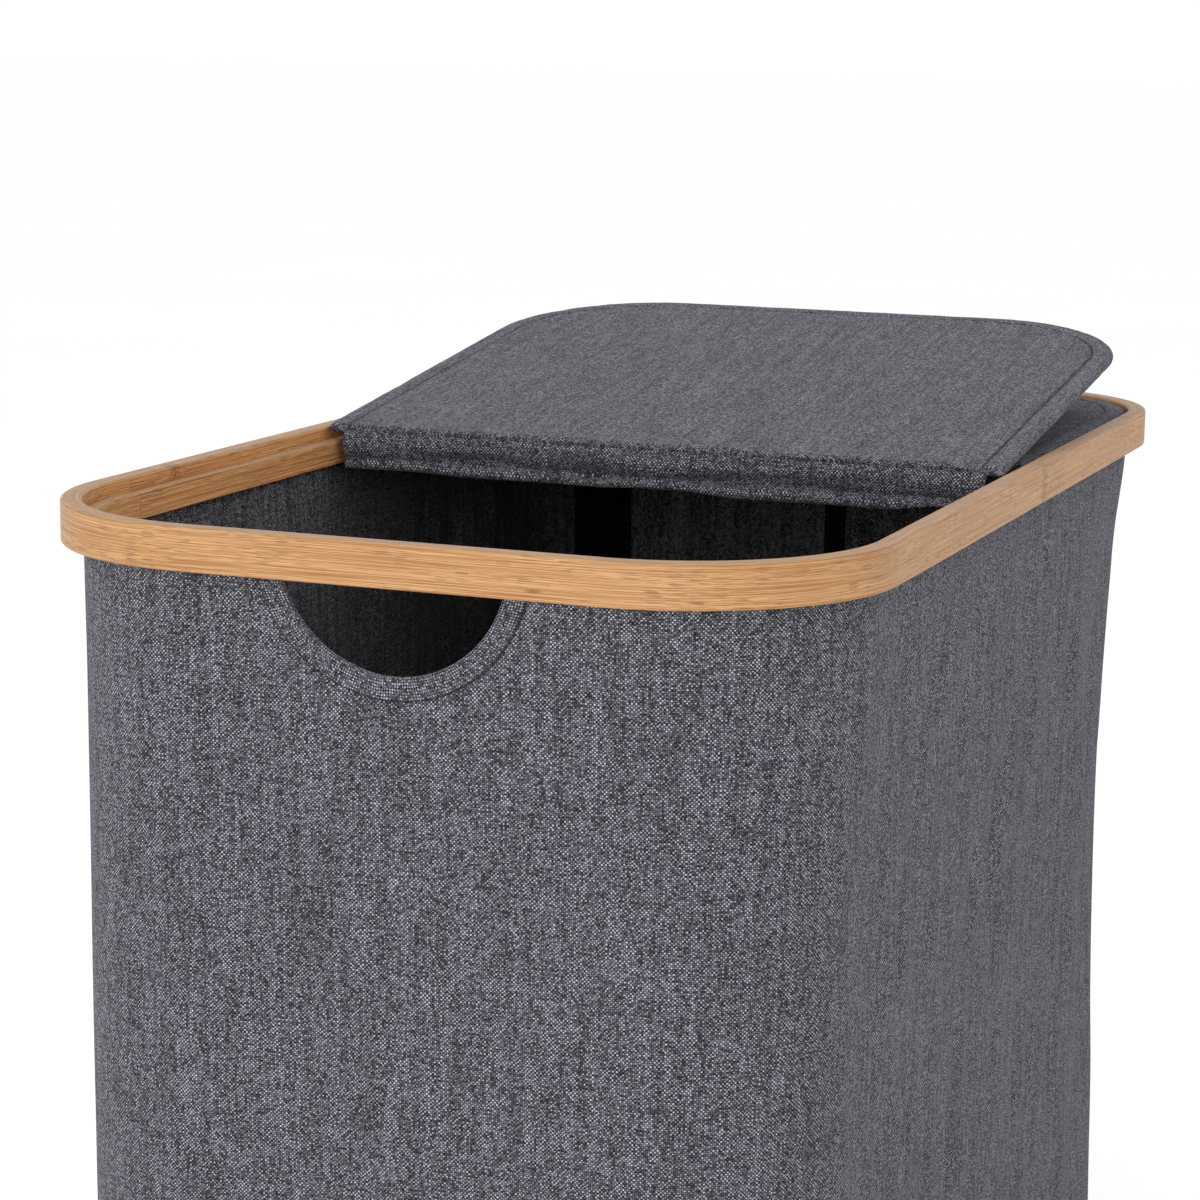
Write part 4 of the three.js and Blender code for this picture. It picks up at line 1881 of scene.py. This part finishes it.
    def spine(self) -> tuple[Thing, list[Array]]:
        """Hang the hinge cloth between the halves.

        Returns:
            The cloth, and the lines of its stitches.
        """
        low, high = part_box("lid_hinge_cloth")
        line = self.spine_line()
        x = np.linspace(low.x + 0.3 * MM, high.x - 0.3 * MM, 118)
        run = np.concatenate([[0], np.cumsum(np.hypot(*np.diff(line, axis=0).T))])
        slack = Jitter(51, 1.0, (40 * MM, 190 * MM), (20 * MM, 60 * MM))
        tight = Jitter(52, 1.0, (60 * MM, 300 * MM), (7 * MM, 15 * MM))
        ends = smooth_step(0, 5 * MM, run) * smooth_step(run[-1], run[-1] - 5 * MM, run)
        sag = slack.at(x[None, :], run[:, None]) * 0.8 * MM * ends[:, None]
        crimp = tight.at(x[None, :], run[:, None]) * 0.34 * MM * ends[:, None]
        step = np.gradient(line, axis=0)
        step /= np.linalg.norm(step, axis=1)[:, None]
        across = np.stack([step[:, 1], -step[:, 0]], -1)
        shift = (sag + crimp)[..., None] * across[:, None, :]
        place = line[:, None, :] + shift
        belly = np.cos(x / high.x * math.pi / 2) ** 0.7
        hang = smooth_step(self.top - 6 * MM, self.top - 18 * MM, line[:, 1])
        place[..., 1] -= hang[:, None] * belly[None, :] * 0.6 * MM
        points = np.stack(
            [np.broadcast_to(x[None, :], place.shape[:2]), place[..., 0], place[..., 1]], -1
        )
        cloth = np.stack(np.broadcast_arrays(x[None, :], run[:, None]), -1)
        draft = MeshDraft()
        draft.grid(points, cloth)
        thing = draft.build("hinge_cloth", self.cloth, outward=False)
        solid = thing.modifiers.new("cloth thickness", "SOLIDIFY")
        solid.thickness = self.spine_thick
        solid.offset = 0
        rows = []
        for way in (3.4 * MM, 7.2 * MM, run[-1] - 3 * MM):
            i = int(np.argmin(np.abs(run - way)))
            out = np.array([0, *(across[i] * self.spine_thick * 0.5)])
            rows.append(points[i, 3:-3] + out * np.sign(-across[i][0] or 1))
        self.spine_run = float(run[-1])
        return thing, rows

    def build(self) -> None:
        """Make both halves and the hinge cloth."""
        thread = Thread(self.stitches, self.thread, 3.1 * MM, 2.6 * MM, 0.45 * MM, 0.05)
        rear_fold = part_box("lid_rear_edge_band")[0].y
        for name, fold in (("lid_rear", rear_fold), ("lid_front", self.closed_fold)):
            pieces, sewn = self.half(name, fold)
            rows = thread.sew(f"{name}_stitches", sewn)
            if name == "lid_front":
                for thing in (*pieces, rows):
                    thing.data.transform(self.fold_back())
            for thing in (*pieces, rows):
                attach(thing, name)
            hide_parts(f"{name}_edge_band")
            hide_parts(f"{name}_upper_cover", f"{name}_lower_cover", f"{name}_board")
        spine, rows = self.spine()
        bpy.context.view_layer.update()
        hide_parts("lid_hinge_cloth")
        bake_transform(spine)
        sewn = thread.sew("hinge_front_stitches", rows[:2])
        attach(sewn, "lid_front")
        tail = thread.sew("hinge_rear_stitches", rows[2:])
        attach(tail, "lid_rear")


def catmull(knots: Array, steps: int) -> Array:
    """Draw a smooth line through points.

    Args:
        knots: The points, one to a row.
        steps: How many steps between two points.

    Returns:
        The line's points.
    """
    padded = np.vstack([2 * knots[0] - knots[1], knots, 2 * knots[-1] - knots[-2]])
    t = np.linspace(0, 1, steps, endpoint=False)[:, None]
    out = []
    for a, b, c, d in zip(padded, padded[1:], padded[2:], padded[3:]):
        out.append(
            0.5
            * (
                2 * b
                + (c - a) * t
                + (2 * a - 5 * b + 4 * c - d) * t**2
                + (3 * b - a - 3 * c + d) * t**3
            )
        )
    return np.vstack([*out, knots[-1:]])


@dataclass
class Hardware:
    """The CAD pieces that keep their own shape: poles, caps and brads."""

    nodes: dict[str, Thing]

    def build(self) -> None:
        """Dress them."""
        drawn = (0.4 * MM, 0.4 * MM, 60 * MM)
        steel = SpeckledSolid(
            "drawn_steel_tube", "#b9bbbd", "#a6a8ab", drawn, (0.25, 0.4), 1.0
        ).build()
        plastic = SpeckledSolid(
            "moulded_black_polyethylene", "#17181a", "#202123", (0.5 * MM,) * 3, (0.45, 0.6)
        ).build()
        for name, thing in self.nodes.items():
            if name.endswith("_support_pole") or name.startswith("hem_brad"):
                material = steel
            elif "_pole_cap_" in name:
                material = plastic
            else:
                continue
            thing.data.materials.clear()
            thing.data.materials.append(material)


@dataclass
class Studio:
    """Pale floor, soft light and the camera."""

    camera_at: Point = (0.48527, -1.31849, 0.78917)
    yaw: float = -0.3474
    pitch: float = 0.1835
    roll: float = 0.0177
    lens: float = 94.66
    shift: Pair = (-0.0685, 0.0006)

    def build(self) -> None:
        """Set up the whole studio."""
        self.camera()
        self.floor()
        self.lights()

    def camera(self) -> None:
        """Place the camera."""
        data = bpy.data.cameras.new("camera")
        data.lens = self.lens
        data.sensor_width = 36
        data.shift_x, data.shift_y = self.shift
        data.clip_end = 60
        ahead = Vector(
            (
                math.sin(self.yaw) * math.cos(self.pitch),
                math.cos(self.yaw) * math.cos(self.pitch),
                -math.sin(self.pitch),
            )
        )
        right = Vector((math.cos(self.yaw), -math.sin(self.yaw), 0))
        up = right.cross(ahead)
        side = math.cos(self.roll) * right + math.sin(self.roll) * up
        top = -math.sin(self.roll) * right + math.cos(self.roll) * up
        camera = new_object("camera", data)
        camera.matrix_world = Matrix.Translation(self.camera_at) @ Matrix(
            (side, top, -ahead)
        ).transposed().to_4x4()
        bpy.context.scene.camera = camera

    def floor(self) -> None:
        """Lay a wide pale floor."""
        material = SpeckledSolid(
            "pale_studio_floor", "#fdfdfd", "#ffffff", (0.9, 0.9, 0.9), (0.8, 0.9)
        ).build()
        size = 40.0
        mesh = bpy.data.meshes.new("floor")
        corners = [(-size, -size, 0), (size, -size, 0), (size, size, 0), (-size, size, 0)]
        mesh.from_pydata(corners, [], [(0, 1, 2, 3)])
        mesh.materials.append(material)
        new_object("studio_floor", mesh)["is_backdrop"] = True

    def lights(self) -> None:
        """Hang the soft lights."""
        world = bpy.data.worlds.new("studio")
        world.use_nodes = True
        background = world.node_tree.nodes["Background"]
        background.inputs["Color"].default_value = (1, 1, 1, 1)
        background.inputs["Strength"].default_value = 1.0
        bpy.context.scene.world = world
        softboxes = [("key", (0.1, -3.0, 1.1), 1.3, 40.0), ("top", (-0.9, -0.4, 2.8), 1.4, 6.0)]
        for name, at, size, watts in softboxes:
            data = bpy.data.lights.new(name, "AREA")
            data.shape = "SQUARE"
            data.size = size
            data.energy = watts
            light = new_object(name, data)
            light.location = at
            aim = Vector((0, 0, 0.45)) - Vector(at)
            light.rotation_euler = aim.to_track_quat("-Z", "Y").to_euler()


def main() -> None:
    """Dress the hamper."""
    logging.basicConfig(level=logging.INFO, format="%(name)s: %(message)s")
    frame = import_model()
    bpy.context.scene.view_settings.view_transform = "Standard"
    Studio().build()

    outer_low, outer_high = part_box("rim_outer_hoop")
    _, shell_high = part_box("bag_outer_shell")
    tape_low, tape_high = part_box("rear_seam_tape")
    facing_low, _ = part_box("front_handle_facing")
    rim_radius = 87 * MM
    shell_inset = outer_high.x - shell_high.x
    facing_width = 8.4 * MM
    hand_centre = outer_high.z - 5 * MM
    hand_radius = hand_centre - facing_low.z - facing_width

    cloth = MelangeWeave().build()
    lining = MelangeWeave(
        "woven_melange_lining",
        warp=("#434247", "#c8c5ca"),
        weft=("#1a181a", "#736f73"),
        level=0.78,
        streak=0.6,
    ).build()
    tape = BlackTape().build()
    thread = SpeckledSolid(
        "black_polyester_thread", "#0c0d0f", "#17181b", (0.3 * MM,) * 3, (0.5, 0.7)
    ).build()
    grey_thread = SpeckledSolid(
        "slate_polyester_thread", "#24252b", "#34353c", (0.3 * MM,) * 3, (0.5, 0.7)
    ).build()
    strips = strip_tree()
    stitches = stitch_tree()

    Rim(outer_high.x, outer_high.y, rim_radius, strips).build()
    Bag(
        plan=Plan(
            shell_high.x, shell_high.y, rim_radius - shell_inset, (tape_low.x + tape_high.x) / 2
        ),
        rim_bottom=outer_low.z,
        hem_top=shell_high.z,
        hand_centre=hand_centre,
        hand_radius=hand_radius,
        facing_width=facing_width,
        cloth=cloth,
        lining=lining,
        tape=tape,
        thread=thread,
        stitches=stitches,
    ).build()
    fold = next(j for j in frame["joints"] if j["name"] == "lid_fold")
    Lid(
        cloth=cloth,
        thread=grey_thread,
        stitches=stitches,
        hinge=Vector(fold["pos_m"]),
        fold_turn=math.radians(fold["range_deg"][1]),
    ).build()
    Hardware(frame["nodes"]).build()

    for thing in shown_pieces():
        LOG.info("%s: %d faces", thing.name, len(thing.data.polygons))


if __name__ == "__main__":
    main()
